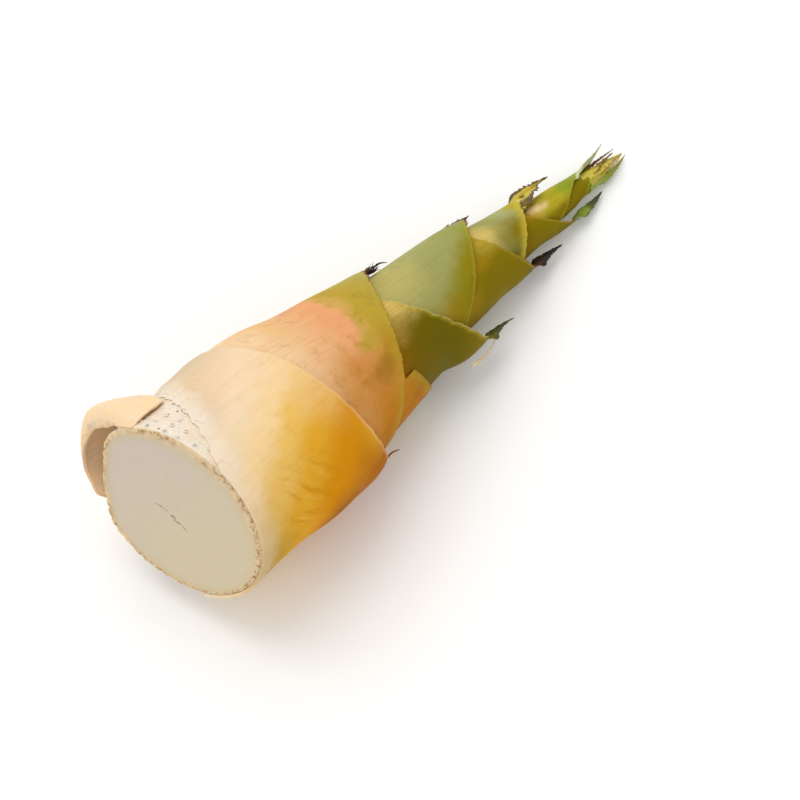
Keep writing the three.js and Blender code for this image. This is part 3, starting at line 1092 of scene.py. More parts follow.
@dataclass(frozen=True)
class RimFinish:
    """The fibrous cut edge of a sheath."""

    fibre_scale: float = 520.0
    cloud_scale: float = 90.0

    def made(self, name: str) -> bpy.types.Material:
        """Make the material.

        Args:
            name: what it is called.

        Returns:
            The material.
        """
        paint = Paint(name)
        place = paint.place()
        fibres = paint.noise(place, self.fibre_scale, 3.0, 0.7)
        cloud = paint.noise(place, self.cloud_scale, 3.0, 0.6)
        color = paint.layered(paint.blend(paint.ease(cloud, 0.35, 0.65), Tint.CREAM, Tint.STRAW),
                              (paint.ease(fibres, 0.54, 0.7, 0.0, 0.5), Tint.FIBRE))
        return paint.finish(color, 0.7, paint.bump(fibres, 0.3), glow=0.2, depth=1.5, shine=0.1)


@dataclass(frozen=True)
class BristleFinish:
    """Stiff dry hairs."""

    root: Tint = Tint.BROWN
    tip: Tint = Tint.DARK_BROWN
    speckle_scale: float = 900.0

    def made(self, name: str) -> bpy.types.Material:
        """Make the material.

        Args:
            name: what it is called.

        Returns:
            The material.
        """
        paint = Paint(name)
        speckle = paint.noise(paint.place(), self.speckle_scale, 2.0)
        along = paint.plus(paint.field("along"), paint.minus(speckle, 0.5))
        return paint.finish(paint.blend(paint.ease(along, 0.1, 0.7), self.root, self.tip), 0.6)


@dataclass(frozen=True)
class Fringe:
    """Bristles that stand along a stretch of a sheath's edge.

    start and end are degrees from the sheath's apex, splay is how far the bristles fan out
    sideways, lift how steeply they stand off the wall, sink how far below the edge they start,
    depth how much further down the wall some of them do, and tuck how far inside the wall;
    shortest and flattest are the least shares of length and lift.
    """

    start: float
    end: float
    count: int
    length: float
    splay: float
    lift: float
    sink: float
    thickness: float
    seed: int
    finish: BristleFinish = BristleFinish()
    depth: float = 0.0
    tuck: float = 0.0
    shortest: float = 0.45
    flattest: float = 0.2
    droop: tuple[float, float] = (-0.25, 0.35)
    point: float = 0.04
    sides: int = 5


@dataclass(frozen=True)
class Blade:
    """The leaf blade at a sheath's apex: a creased flame-shaped strip with ragged edges.

    root is how deep it starts, and up how far its whole length is moved up the stem; lift and curl
    move it off the stem at its tip and at its middle; side is how many degrees its tip turns
    aside; twist is how far its front half rises off the wall, back_twist the same for its back half
    (None: as far the other way, in one plane), and bias how much of it then stands outward (1 for
    all); waist is its width at the root as a share of the full one; its front half is front_width
    times as wide as the back one up to the share front_length of its length; it opens from
    open_from over open_over millimetres.
    """

    root: float
    length: float
    width: float
    finish: BladeFinish
    lift: float = 0.0
    curl: float = 0.0
    fold: float = 0.6
    side: float = 0.0
    twist: float = 0.0
    back_twist: float | None = None
    bias: float = 0.2
    waist: float = 0.9
    frill: float = 0.2
    fray: float = 0.15
    teeth: float = 0.0
    wall: float = 0.6
    tip_width: float = 0.1
    taper: float = 0.8
    up: float = 0.0
    front_width: float = 1.0
    front_length: float = 1.0
    open_from: float = -3.0
    open_over: float = 5.0
    waist_over: float = 0.4
    tooth_count: int = 13
    root_sink: float = 0.25
    crease_sharpness: float = 1.5
    edge_thinning: float = 0.65
    tip_wall: float = 0.5
    columns: int = 16
    rows: int = 96
    seed: int = 3

    def half_width(self, v: Values, across: Values, out: Values) -> Values:
        """Half the blade's width, with its frays and teeth.

        Args:
            v: share of the way from its buried end to its tip.
            across: -1 to 1 from edge to edge.
            out: share of its free length.

        Returns:
            The half width, in millimetres.
        """
        plain = mix(self.waist, 1.0, smooth(out / self.waist_over)) * (1 - out) ** self.taper
        edge = np.abs(across) ** 3
        frayed = 1 + self.fray * ripple(v * 9 + across, self.seed, 2.3) * edge
        draw = np.random.default_rng(self.seed + 20)
        bite = (v * self.tooth_count + np.where(across > 0, 0.4, 0.0) + draw.uniform()) % 1.0
        notched = 1 - self.teeth * edge * bite * smooth(out * 4 - 0.4)
        return np.maximum(self.tip_width, self.width / 2 * plain * notched) * frayed

    def built(self, shop: Workshop, name: str, start: float, bearing: float, wall_radius: Rule,
              side: float, slot: str) -> bpy.types.Object:
        """Model and dress the blade.

        Args:
            shop: the modelling steps.
            name: the piece's name.
            start: the height it starts from.
            bearing: where round the stem it stands.
            wall_radius: gives the radius of the wall it grows from at a height.
            side: 1 or -1, the way that its tip turns and rolls.
            slot: the node that it belongs to.

        Returns:
            The finished piece.
        """
        piece, u, v = shop.grid(name, self.columns, self.rows)
        across = u * 2 - 1
        along = mix(-self.root, self.length, v)
        out = np.maximum(along, 0) / self.length
        start = start + self.up
        front = np.where(across * side > 0, 1.0, -1.0)
        shorter = 1 if self.front_length >= 1 else smooth((self.front_length - out) / 0.2)
        half = self.half_width(v, across, out) * np.where(front > 0, self.front_width * shorter, 1.0)
        half = np.maximum(half, self.tip_width)
        opened = smooth((along - self.open_from) / self.open_over)
        back_twist = -self.twist if self.back_twist is None else self.back_twist
        rise = np.radians(np.where(front > 0, self.twist, back_twist)) * opened
        crease = self.fold * opened * half / (self.width / 2)
        crease = crease * (1 - np.abs(across)) ** self.crease_sharpness
        wave = self.frill * np.abs(across) ** 2 * ripple(v * 10 + np.sign(across) * 2, self.seed + 4, 1.6)
        off = wave * opened - crease
        radius = wall_radius(start + np.minimum(along, 0)) - self.root_sink * smooth(-along / 2)
        aside = across * half * np.cos(rise) - off * np.sin(rise) * front * side
        raised = np.abs(across) * half * np.sin(rise) + off * np.cos(rise)
        raised = raised + self.bias * half * np.sin(np.radians(abs(self.twist)) * opened)
        middle = radius + self.lift * out**2 + self.curl * 4 * out * (1 - out) + raised
        turned = bearing + self.side * side * out + np.degrees(aside / radius)
        points = shop.line.place(start + along, turned, middle)
        shop.move(piece, points)
        shop.tag(piece, along=v, across=across)
        shop.face_outward(piece, shop.line.place(start + along, turned, middle + 1) - points)
        thin = 1 - self.edge_thinning + self.edge_thinning * (1 - np.abs(across) ** 2)
        shop.thicken(piece, self.wall, thin * mix(1.0, self.tip_wall, v), offset=0.0)
        piece.data.materials.append(self.finish.made(name))
        shop.soften(piece)
        shop.hand_over(piece, slot)
        return piece


@dataclass(frozen=True)
class Sheath:
    """A leaf sheath rolled round the stem, pointed at its apex.

    node is the height it springs from; apex and bearing are its highest point; fall and power say
    how its front edge drops over half a turn, back_fall and back_power the same for the edge
    tucked under it; inset is its depth inside the shell; flare is how far its apex stands off;
    front and back are the degrees it wraps each way.
    """

    name: str
    node: float
    apex: float
    bearing: float
    turn: Turn
    fall: float
    power: float
    back_fall: float
    back_power: float
    inset: float
    wall: float
    flare: float
    front: float
    back: float
    finish: SheathFinish
    blade: Blade
    fringes: tuple[Fringe, ...] = ()
    fray: float = 0.5
    wave: float = 0.35
    cell: float = 1.15
    seed: int = 1
    flare_below: float = 29.0
    flare_length: float = 17.0
    flare_sharpness: float = 1.4
    tuck_from: float = 20.0
    tuck_length: float = 120.0
    gap: float = 0.35
    settle_over: float = 9.0
    settle_above: float = 0.6
    settle_thinning: float = 0.85
    foot_fray: float = 1.2
    row_crowding: float = 1.3
    fray_length: float = 16.0
    wave_length: float = 34.0
    free_depth: float = 9.0
    thin_depth: float = 5.0
    edge_thinning: float = 0.7
    blade_depth: float = 0.35

    def edge(self, turned: Values) -> Values:
        """Where the sheath's edge is.

        Args:
            turned: degrees from the apex; positive is toward the front edge.

        Returns:
            Its height up the stem.
        """
        front = self.fall * (np.abs(turned) / 180) ** self.power
        back = self.back_fall * (np.abs(turned) / 180) ** self.back_power
        return self.apex - np.where(np.asarray(turned) >= 0, front, back)

    def overlap(self) -> float:
        """How deep the tucked edge goes under the front one."""
        return self.wall + self.gap if self.front + self.back > 360 else 0.0

    def radius(self, line: StemLine, height: Values, turned: Values) -> Values:
        """Outer radius of the sheath.

        Args:
            line: the centre line and shell.
            height: how far up the stem.
            turned: degrees from the apex.

        Returns:
            The radius, in millimetres.
        """
        facing = np.maximum(np.cos(np.radians(turned)), 0) ** self.flare_sharpness
        risen = smooth((height - self.apex + self.flare_below) / self.flare_length)
        tucked = smooth((-np.asarray(turned) - self.tuck_from) / self.tuck_length) * self.overlap()
        return line.shell.at(height) - self.inset + self.flare * facing * risen - tucked

    def foot(self, line: StemLine, bearing: Values) -> Values:
        """Where the sheath springs from.

        Args:
            line: the centre line and shell.
            bearing: where round the stem.

        Returns:
            The height of its foot there.
        """
        if self.node > 0:
            return np.full_like(bearing, self.node + self.gap)
        return np.maximum(line.collar(bearing), line.cut(bearing, line.shell.at(0.0))[:, 0])

    def built(self, shop: Workshop, outer: Sheath | None) -> None:
        """Model and dress the sheath, its blade and its bristles.

        Args:
            shop: the modelling steps.
            outer: the sheath round this one, which hides the lower part of its edge.
        """
        line = shop.line
        columns = round(math.radians(self.front + self.back) * float(line.shell.at(self.node)) / self.cell)
        rows = round((self.apex - self.fall / 2 - self.node) / self.cell)
        piece, u, v = shop.grid(self.name, columns, rows)
        turned = mix(-self.back, self.front, u)
        bearing = self.bearing + self.turn.value * turned
        foot = self.foot(line, bearing)
        torn = self.fray * ripple(turned, self.seed, self.fray_length, 6) - self.fray
        edge = self.edge(turned) + torn * smooth(3 - np.abs(turned) / 60)
        height = mix(foot, edge, 1 - (1 - v) ** self.row_crowding)
        below = edge - height
        shown = self.shown(edge, bearing, outer)
        free = smooth(1 - below / self.free_depth) * shown
        thin = 1 - self.edge_thinning * smooth(1 - below / self.thin_depth) * shown
        wave = self.wave * (ripple(turned, self.seed + 7, self.wave_length) * 0.5 + 0.35)
        radius = self.radius(line, height, turned) + line.swell(height, bearing)
        if self.node == 0:
            bared = smooth((foot - line.cut(bearing, line.shell.at(0.0))[:, 0]) / 5)
            settled = smooth(1 - (height - foot) / self.settle_over) * bared
            radius = mix(radius, np.minimum(radius, Stem.foot_radius + self.settle_above), settled)
            thin = thin * (1 - self.settle_thinning * settled)
            height = height + self.foot_fray * (1 + ripple(bearing, 51, 9.0, 6)) * smooth(settled * 3 - 2)
        radius = radius + wave * free - self.wall * (1 - thin) * 0.7
        points = line.place(height, bearing, radius)
        shop.move(piece, points)
        arc = np.radians(bearing) * line.shell.at(np.full_like(height, (self.node + self.apex) / 2))
        shop.tag(piece, height=height, bearing=bearing, margin=below, foot=height - foot, arc=arc)
        shop.face_outward(piece, line.place(height, bearing, radius + 1) - points)
        shop.thicken(piece, self.wall, thin, rim=1)
        piece.data.materials.append(self.finish.made(self.name))
        piece.data.materials.append(self.rim_finish())
        shop.soften(piece)
        shop.hand_over(piece, self.name)
        self.blade.built(shop, f"{self.name}_blade", self.apex, self.bearing,
                         lambda h: self.radius(line, h, np.zeros_like(h)) + line.swell(h, self.bearing)
                         - self.wall * self.blade_depth, self.turn.value, self.name)
        for number, fringe in enumerate(self.fringes, 1):
            self.bristles(shop, fringe, f"{self.name}_bristles_{number}")

    def rim_finish(self) -> bpy.types.Material:
        """Dress its cut or torn rim.

        Returns:
            A fibrous material on the lowest sheath, and that of its face elsewhere.
        """
        if self.node > 0:
            return self.finish.made(f"{self.name}_rim")
        return RimFinish().made(f"{self.name}_rim")

    def shown(self, edge: Values, bearing: Values, outer: Sheath | None) -> Values:
        """How far the edge stands clear of the sheath round it.

        Args:
            edge: the height of the edge.
            bearing: where round the stem.
            outer: the sheath round it.

        Returns:
            A share from 0 to 1.
        """
        if outer is None:
            return np.ones_like(edge)
        away = (bearing - outer.bearing) * outer.turn.value
        away = (away + 180) % 360 - 180
        return smooth((edge - np.maximum(outer.edge(away), outer.edge(-away)) - 1) / 5)

    def bristles(self, shop: Workshop, fringe: Fringe, name: str) -> None:
        """Model and dress the bristles of a fringe.

        Args:
            shop: the modelling steps.
            fringe: where they stand and how.
            name: the piece's name.
        """
        draw = np.random.default_rng(fringe.seed)
        line = shop.line
        grown = []
        for number in range(fringe.count):
            turned = mix(fringe.start, fringe.end, (number + draw.uniform(0.1, 0.9)) / fringe.count)
            length = fringe.length * draw.uniform(fringe.shortest, 1.0)
            lean = math.radians(fringe.splay * draw.uniform(-1, 1))
            rise = math.radians(fringe.lift * draw.uniform(fringe.flattest, 1.0))
            droop = draw.uniform(*fringe.droop)
            base_height = float(self.edge(turned)) - fringe.sink - fringe.depth * draw.uniform()
            base_radius = float(self.radius(line, base_height, turned))
            base_bearing = self.bearing + self.turn.value * turned
            base_radius += float(line.swell(base_height, base_bearing)) - self.wall * 0.5 - fringe.tuck
            hair = self.hair(shop, fringe, length)
            p = shop.points(hair)
            far = p[:, 2]
            height = base_height + far * math.cos(lean) * math.cos(rise) + p[:, 0]
            away = far * math.sin(rise) + droop * far**2 / length + p[:, 1]
            round_ = base_bearing + np.degrees((far * math.sin(lean) + p[:, 0] * 0.3) / base_radius)
            shop.move(hair, line.place(height, round_, base_radius + away))
            shop.tag(hair, along=far / length)
            grown.append(hair)
        whole = shop.joined(grown, name)
        whole.data.materials.append(fringe.finish.made(name))
        shop.edit(whole, lambda: bpy.ops.mesh.normals_make_consistent(inside=False))
        shop.soften(whole, 60)
        shop.hand_over(whole, self.name, replaced=False)

    def hair(self, shop: Workshop, fringe: Fringe, length: float) -> bpy.types.Object:
        """One straight bristle along +Z from the origin, in millimetres.

        Args:
            shop: the modelling steps.
            fringe: what it is part of.
            length: how long it is.

        Returns:
            The bristle.
        """
        shop.clear_selection()
        bpy.ops.mesh.primitive_cone_add(vertices=fringe.sides, radius1=fringe.thickness,
                                        radius2=fringe.point, depth=length, location=(0, 0, length / 2))
        hair = bpy.context.object
        bpy.ops.object.transform_apply(location=True)
        bpy.ops.object.mode_set(mode="EDIT")
        bpy.ops.mesh.select_all(action="SELECT")
        for share in (0.2, 0.4, 0.6, 0.8):
            bpy.ops.mesh.bisect(plane_co=(0, 0, length * share), plane_no=(0, 0, 1))
            bpy.ops.mesh.select_all(action="SELECT")
        bpy.ops.object.mode_set(mode="OBJECT")
        return hair


@dataclass(frozen=True)
class Husk:
    """The loose remnant of an older sheath, standing off the foot.

    It springs from start to end degrees round the stem and stands off most at lean; past hug_from
    it settles back against the flesh.
    """

    start: float = -58.0
    end: float = 28.0
    lean: float = -10.0
    reach: float = 46.0
    wall: float = 1.3
    radius: float = 42.6
    flare: float = 11.8
    fade: float = 2.1
    trim: float = 3.0
    below: float = 0.9
    hug_from: float = 6.0
    hug_over: float = 20.0
    hug_depth: float = 1.95
    close_from: float = -36.0
    close_depth: float = 3.4
    corner: float = 3.5
    foot_fray: float = 0.2
    side_fray: float = 0.8
    sag: float = 0.35
    lip_share: float = 0.3
    lip_depth: float = 8.5
    lip_least: float = 1.2
    lip_from: float = -42.0
    lip_over: float = 34.0
    columns: int = 130
    rows: int = 48
    plain_columns: int = 10
    plain_rows: int = 5
    side_thinning: float = 0.55

    def swing(self, bearing: Values) -> Values:
        """How far its foot stands off, in its plain form."""
        return self.flare * smooth(1 - np.abs(bearing - self.lean) / self.reach)

    def sheet(self, line: StemLine, bearing: Values, v: Values, swing: Values) -> tuple[Values, Values]:
        """The outside of its plain form.

        Args:
            line: the centre line and shell.
            bearing: where round the stem.
            v: share of the way up it.
            swing: how far its foot stands off.

        Returns:
            Its height and its radius.
        """
        bottom = line.cut(bearing, self.radius + swing)[:, 0] + self.trim * swing / self.flare
        top = line.collar(bearing) - self.below
        return mix(bottom, top, v), self.radius + swing * (1 - v**self.fade)

    def far_corner(self, line: StemLine) -> tuple[float, float]:
        """How far its plain form reaches: the frame is shifted by it.

        Args:
            line: the centre line, not yet shifted.

        Returns:
            The least place along and the greatest place across, in millimetres.
        """
        across = np.linspace(0, 1, self.plain_columns + 1)
        us, vs = np.meshgrid(across, np.linspace(0, 1, self.plain_rows + 1))
        bearing = mix(self.start, self.end, us.ravel())
        height, radius = self.sheet(line, bearing, vs.ravel(), self.swing(bearing))
        outside, inside = (line.place(height, bearing, radius - depth) for depth in (0.0, self.wall))
        both = np.concatenate([outside, inside])
        return both[:, 0].min() / MM, both[:, 1].max() / MM

    def built(self, shop: Workshop) -> None:
        """Model and dress the husk.

        Args:
            shop: the modelling steps.
        """
        line = shop.line
        piece, u, v = shop.grid("husk", self.columns, self.rows)
        bearing = mix(self.start, self.end, u)
        hug = smooth((bearing - self.hug_from) / self.hug_over)
        height, radius = self.sheet(line, bearing, v, self.swing(bearing))
        side = np.minimum(u, 1 - u)
        torn = smooth(1 - v / 0.2) * self.foot_fray * (1 + ripple(bearing, 5, 20.0, 6))
        height = height + torn + self.corner * smooth(1 - u / 0.1) * smooth(1.3 - v)
        frayed = 1 + ripple(v * 30, 9, 14.0, 5)
        inward = np.where(u < 0.5, self.side_fray, -self.side_fray)
        bearing = bearing + frayed * inward * smooth(1 - side / 0.06)
        swell = -self.sag * (0.5 + 0.5 * ripple(bearing + height * 0.6, 12, 30.0, 3))
        tucked = np.clip(1 - v / self.lip_share, 0, 1)
        depth = mix(self.lip_least, self.lip_depth, smooth((bearing - self.lip_from) / self.lip_over))
        roll = -depth * (1 - np.sqrt(1 - tucked**2))
        loose = smooth((radius - self.radius + 0.4) / 3)
        closed = smooth((self.close_from - bearing) / (self.close_from - self.start)) * smooth(1.2 - v)
        radius = np.maximum(radius + (swell + roll) * loose, self.radius - 0.1) - self.hug_depth * hug
        radius = radius - self.close_depth * closed
        points = line.place(height, bearing, radius)
        shop.move(piece, points)
        width = np.radians(self.end - self.start) * self.radius
        margin = np.minimum(side * width, v * (height.max() - height.min()))
        arc = np.radians(bearing) * self.radius
        shop.tag(piece, height=height, bearing=bearing, margin=margin, arc=arc)
        shop.face_outward(piece, line.place(height, bearing, radius + 1) - points)
        thin = 1 - self.side_thinning + self.side_thinning * smooth(side / 0.1)
        shop.thicken(piece, self.wall, thin, inner=1, rim=2)
        inside = HuskFinish(Tint.CLAY, Tint.SALMON, Tint.PURPLE_BROWN, 0.4, 0.2)
        lip = HuskFinish(Tint.STRAW, Tint.PEACH, Tint.FIBRE, 0.4, 0.2, edge_strength=0.0)
        for part, finish in (("husk", HuskFinish()), ("husk_inside", inside), ("husk_lip", lip)):
            piece.data.materials.append(finish.made(part))
        shop.soften(piece, 70)
        shop.hand_over(piece, "husk")


@dataclass(frozen=True)
class Stem:
    """The flesh: the cut face, the bare band with its root nubs and the core inside the sheaths."""

    foot_radius: float = 40.1
    band: float = 18.0
    top: float = 211.0
    top_round: float = 3.0
    clear: float = 0.6
    round_off: float = 0.5
    segments: int = 400
    face_rings: int = 40
    band_rings: int = 36
    core_rings: int = 30
    press: float = 4.4
    press_bearing: float = -36.0
    press_spread: float = 33.0
    rim_lip: float = 0.45
    recess: float = 0.4
    flange: float = 0.55
    knob: float = 0.5
    bare_knob: float = 1.3
    knob_width: float = 4.6
    knob_height: float = 4.2
    calm: float = 0.6
    bare_bearing: float = -95.0
    bare_spread: float = 45.0
    bare_press: float = 0.5
    lip_width: float = 1.4
    face_crowding: float = 1.6
    knife_marks: float = 0.1
    dish: float = 0.15
    nub_radius: float = 1.05
    nub_rise: float = 0.35
    nub_sink: float = 1.2
    nub_spacing: float = 9.5
    nub_wander: float = 2.2
    nub_rows: tuple[float, ...] = (2.2, 6.4, 10.6, 14.8)
    nub_edge: float = 2.5
    nub_seed: int = 7

    def core(self, line: StemLine, height: Values, sheaths: tuple[Sheath, ...]) -> Values:
        """The room that the sheaths leave inside them.

        Args:
            line: the centre line and shell.
            height: how far up the stem.
            sheaths: the sheaths, outermost first.

        Returns:
            Its radius.
        """
        radius = np.zeros_like(height)
        for sheath in sheaths:
            room = line.shell.at(height) - sheath.inset - sheath.wall - sheath.overlap() - self.clear
            radius = np.where(height >= sheath.node, room, radius)
        return radius

    def outline(self, bearing: Values) -> Values:
        """The cut face is round, but pressed in behind the husk.

        Args:
            bearing: where round the stem.

        Returns:
            Its radius.
        """
        away = (bearing - self.press_bearing + 180) % 360 - 180
        pressed = self.press * smooth(1.3 - np.abs(away) / self.press_spread)
        return self.foot_radius - np.maximum(pressed, self.bare_press * self.bare(bearing))

    def bare(self, bearing: Values) -> Values:
        """How far its lower side, which no leaf covers, has the coarser knobs."""
        away = (bearing - self.bare_bearing + 180) % 360 - 180
        return smooth(1.5 - np.abs(away) / self.bare_spread)

    def knobs(self, height: Values, bearing: Values) -> Values:
        """Small uneven knobs on the bare band.

        Args:
            height: how far up the stem.
            bearing: where round it.

        Returns:
            How far the band stands out.
        """
        arc = np.radians(bearing % 360) * self.foot_radius
        crosswise = ripple(arc + 1.2 * np.sin(height / 1.7), 31, self.knob_width, 3)
        lengthwise = ripple(height + 0.9 * np.sin(arc / 2.3), 32, self.knob_height, 2)
        seam = smooth(np.minimum(arc, 2 * math.pi * self.foot_radius - arc) / 4)
        rise = mix(self.knob, self.bare_knob, self.bare(bearing))
        return rise * np.clip(crosswise + 0.4, 0, 1) * np.clip(lengthwise + 0.5, 0, 1) * seam

    def built(self, shop: Workshop, sheaths: tuple[Sheath, ...], husk: Husk) -> None:
        """Model and dress the stem.

        Args:
            shop: the modelling steps.
            sheaths: the sheaths that it fills, outermost first.
            husk: the husk, which covers part of the bare band.
        """
        line = shop.line
        rings = self.face_rings + self.band_rings + self.core_rings
        piece, share, bearing = shop.ball("stem", self.segments, rings)
        ring = np.round(share * rings)
        on_face = ring <= self.face_rings
        outline = self.outline(bearing)
        start = line.cut(bearing, outline)[:, 0]
        covered = smooth((start - line.collar(bearing) + 4) / 4)
        outline = outline + self.flange * covered
        knobs = self.knobs(start, bearing) * (1 - self.calm * covered)
        inward = 1 - np.minimum(ring / self.face_rings, 1.0)
        out = (1 - inward**self.face_crowding) * outline
        face = line.cut(bearing, out + (knobs - self.round_off) * smooth(1 - inward * 12))
        depth = outline - out
        lip = self.rim_lip * smooth(1 - np.abs(depth - self.lip_width) / self.lip_width)
        lip = lip * (1 + 1.4 * ripple(bearing, 41, 7.0, 5))
        face[:, 0] += self.recess + self.face_relief(face) * smooth(depth / 6) - lip
        banded = np.clip((ring - self.face_rings) / self.band_rings, 0, 1)
        above = np.clip((ring - self.face_rings - self.band_rings) / self.core_rings, 0, 1)
        low = mix(start + self.round_off, self.band, banded)
        height = np.where(above > 0, mix(self.band, self.top, above), low)
        core = self.core(line, np.maximum(height, self.band), sheaths)
        standing = outline + self.knobs(height, bearing) * (1 - self.calm * covered)
        radius = np.where(above > 0, core, mix(standing, core, smooth(banded * 1.6 - 0.6)))
        tip = ring >= rings
        radius = np.where(tip, 0.0, radius + np.where(banded > 0.4, line.swell(height, bearing), 0.0))
        height = np.where(tip, self.top + self.top_round, height)
        side = line.local(height, bearing, radius)
        shop.move(piece, line.laid(np.where(on_face[:, None], face, side)))
        shop.tag(piece, side=face[:, 1], front=face[:, 2], face=on_face.astype(float), nub=0.0,
                 rim=np.where(on_face, depth, 0.0))
        whole = shop.joined([piece, *self.nubs(shop, husk)], "stem")
        whole.data.materials.append(FleshFinish().made("stem"))
        shop.soften(whole, 40)
        shop.hand_over(whole, "stem")

    def face_relief(self, face: Values) -> Values:
        """Faint knife marks and a shallow dish in the cut face.

        Args:
            face: its points.

        Returns:
            How far each point sinks in.
        """
        marks = ripple(face[:, 1] * 0.8 + face[:, 2] * 0.6, 21, 9.0, 4)
        softer = ripple(face[:, 2] - face[:, 1] * 0.3, 23, 31.0, 3)
        return self.knife_marks * (1 + marks) + self.dish * (1 + softer)

    def nubs(self, shop: Workshop, husk: Husk) -> list[bpy.types.Object]:
        """The root nubs of the bare band, clear of the husk.

        Args:
            shop: the modelling steps.
            husk: the husk.

        Returns:
            The nubs.
        """
        line = shop.line
        state = self.nub_seed
        grown = []
        bearing = husk.end + self.nub_spacing
        while bearing < husk.start + 360 - self.nub_spacing / 2:
            for row in self.nub_rows:
                state = state * 16807 % 2147483647
                turned = bearing + (state / 2147483647 - 0.5) * self.nub_wander * 2
                state = state * 16807 % 2147483647
                height = float(line.cut(np.array([turned]), self.foot_radius)[0, 0]) + row
                height += (state / 2147483647 - 0.5) * self.nub_wander / 2
                if height + self.nub_edge < float(line.collar(turned)):
                    grown.append(self.nub(shop, height, turned, state / 2147483647))
            bearing += self.nub_spacing
        return grown

    def nub(self, shop: Workshop, height: float, bearing: float, darkness: float) -> bpy.types.Object:
        """One root nub: a low dome with a dark tip.

        Args:
            shop: the modelling steps.
            height: how far up the stem it is.
            bearing: where round it.
            darkness: from 0 to 1: how large and dark it is.

        Returns:
            The nub.
        """
        dome = shop.ball("nub", 12, 8)[0]
        p = shop.points(dome)
        reach = self.nub_radius * mix(0.75, 1.0, darkness)
        rise = np.where(p[:, 2] > 0, self.nub_rise * 0.6 * p[:, 2] ** 1.4, self.nub_sink * p[:, 2])
        turned = bearing + np.degrees(p[:, 1] * reach / self.foot_radius)
        stands = float(self.outline(np.array([bearing]))[0])
        shop.move(dome, shop.line.place(height + p[:, 0] * reach, turned, stands + rise))
        shop.tag(dome, side=0.0, front=0.0, face=0.0, rim=9.0,
                 nub=np.clip(p[:, 2], 0, 1) ** 3 * mix(0.45, 1.1, darkness))
        return dome


@dataclass(frozen=True)
class Bud:
    """The rolled leaves at the tip, grown as one body, with their fine blades.

    Each of leaves is the height and the bearing that a blade starts from, and the blade.
    """

    finish: SheathFinish
    leaves: tuple[tuple[float, float, Blade], ...]
    base: float = 217.0
    inset: float = 16.6
    roll_step: float = 0.45
    roll_twist: float = 5.5
    point: float = 290.0
    narrows: float = 266.0
    point_sharpness: float = 0.75
    base_rounding: float = 3.0
    margin_width: float = 20.0
    grain_radius: float = 4.3
    segments: int = 96
    rings: int = 140

    def wall(self, line: StemLine, height: Values) -> Values:
        """The outside of the rolled leaves.

        Args:
            line: the centre line and shell.
            height: how far up the stem.

        Returns:
            Its radius.
        """
        closing = np.clip((self.point - height) / (self.point - self.narrows), 0, 1)
        opening = np.sqrt(np.clip((height - self.base) / self.base_rounding, 0, 1))
        return (line.shell.at(height) - self.inset) * closing**self.point_sharpness * opening

    def built(self, shop: Workshop) -> None:
        """Model and dress the bud and its blades.

        Args:
            shop: the modelling steps.
        """
        line = shop.line
        piece, share, bearing = shop.ball("bud", self.segments, self.rings)
        height = mix(self.base, self.point, share)
        radius = self.wall(line, height)
        rolled = (bearing / 360 + (height - self.base) / 360 * self.roll_twist) % 1.0
        radius = np.maximum(radius - self.roll_step * (1 - rolled) * smooth(radius / 2), 0.0)
        points = line.place(height, bearing, radius)
        shop.move(piece, points)
        shop.tag(piece, height=height, bearing=bearing % 360, margin=(1 - rolled) * self.margin_width,
                 arc=np.radians(bearing) * self.grain_radius)
        shop.face_outward(piece, line.place(height, bearing, radius + 1) - points)
        piece.data.materials.append(self.finish.made("bud"))
        shop.soften(piece, 40)
        shop.hand_over(piece, "bud")
        for number, (start, turned, blade) in enumerate(self.leaves, 1):
            name = f"bud_blade_{number}"
            blade.built(shop, name, start, turned, lambda h: self.wall(line, h), 1, "bud")


@dataclass(frozen=True)
class Lamp:
    """A soft round light; distance and size are in metres, power in watts."""

    name: str
    azimuth: float
    elevation: float
    distance: float
    size: float
    power: float
    color: tuple[float, float, float]


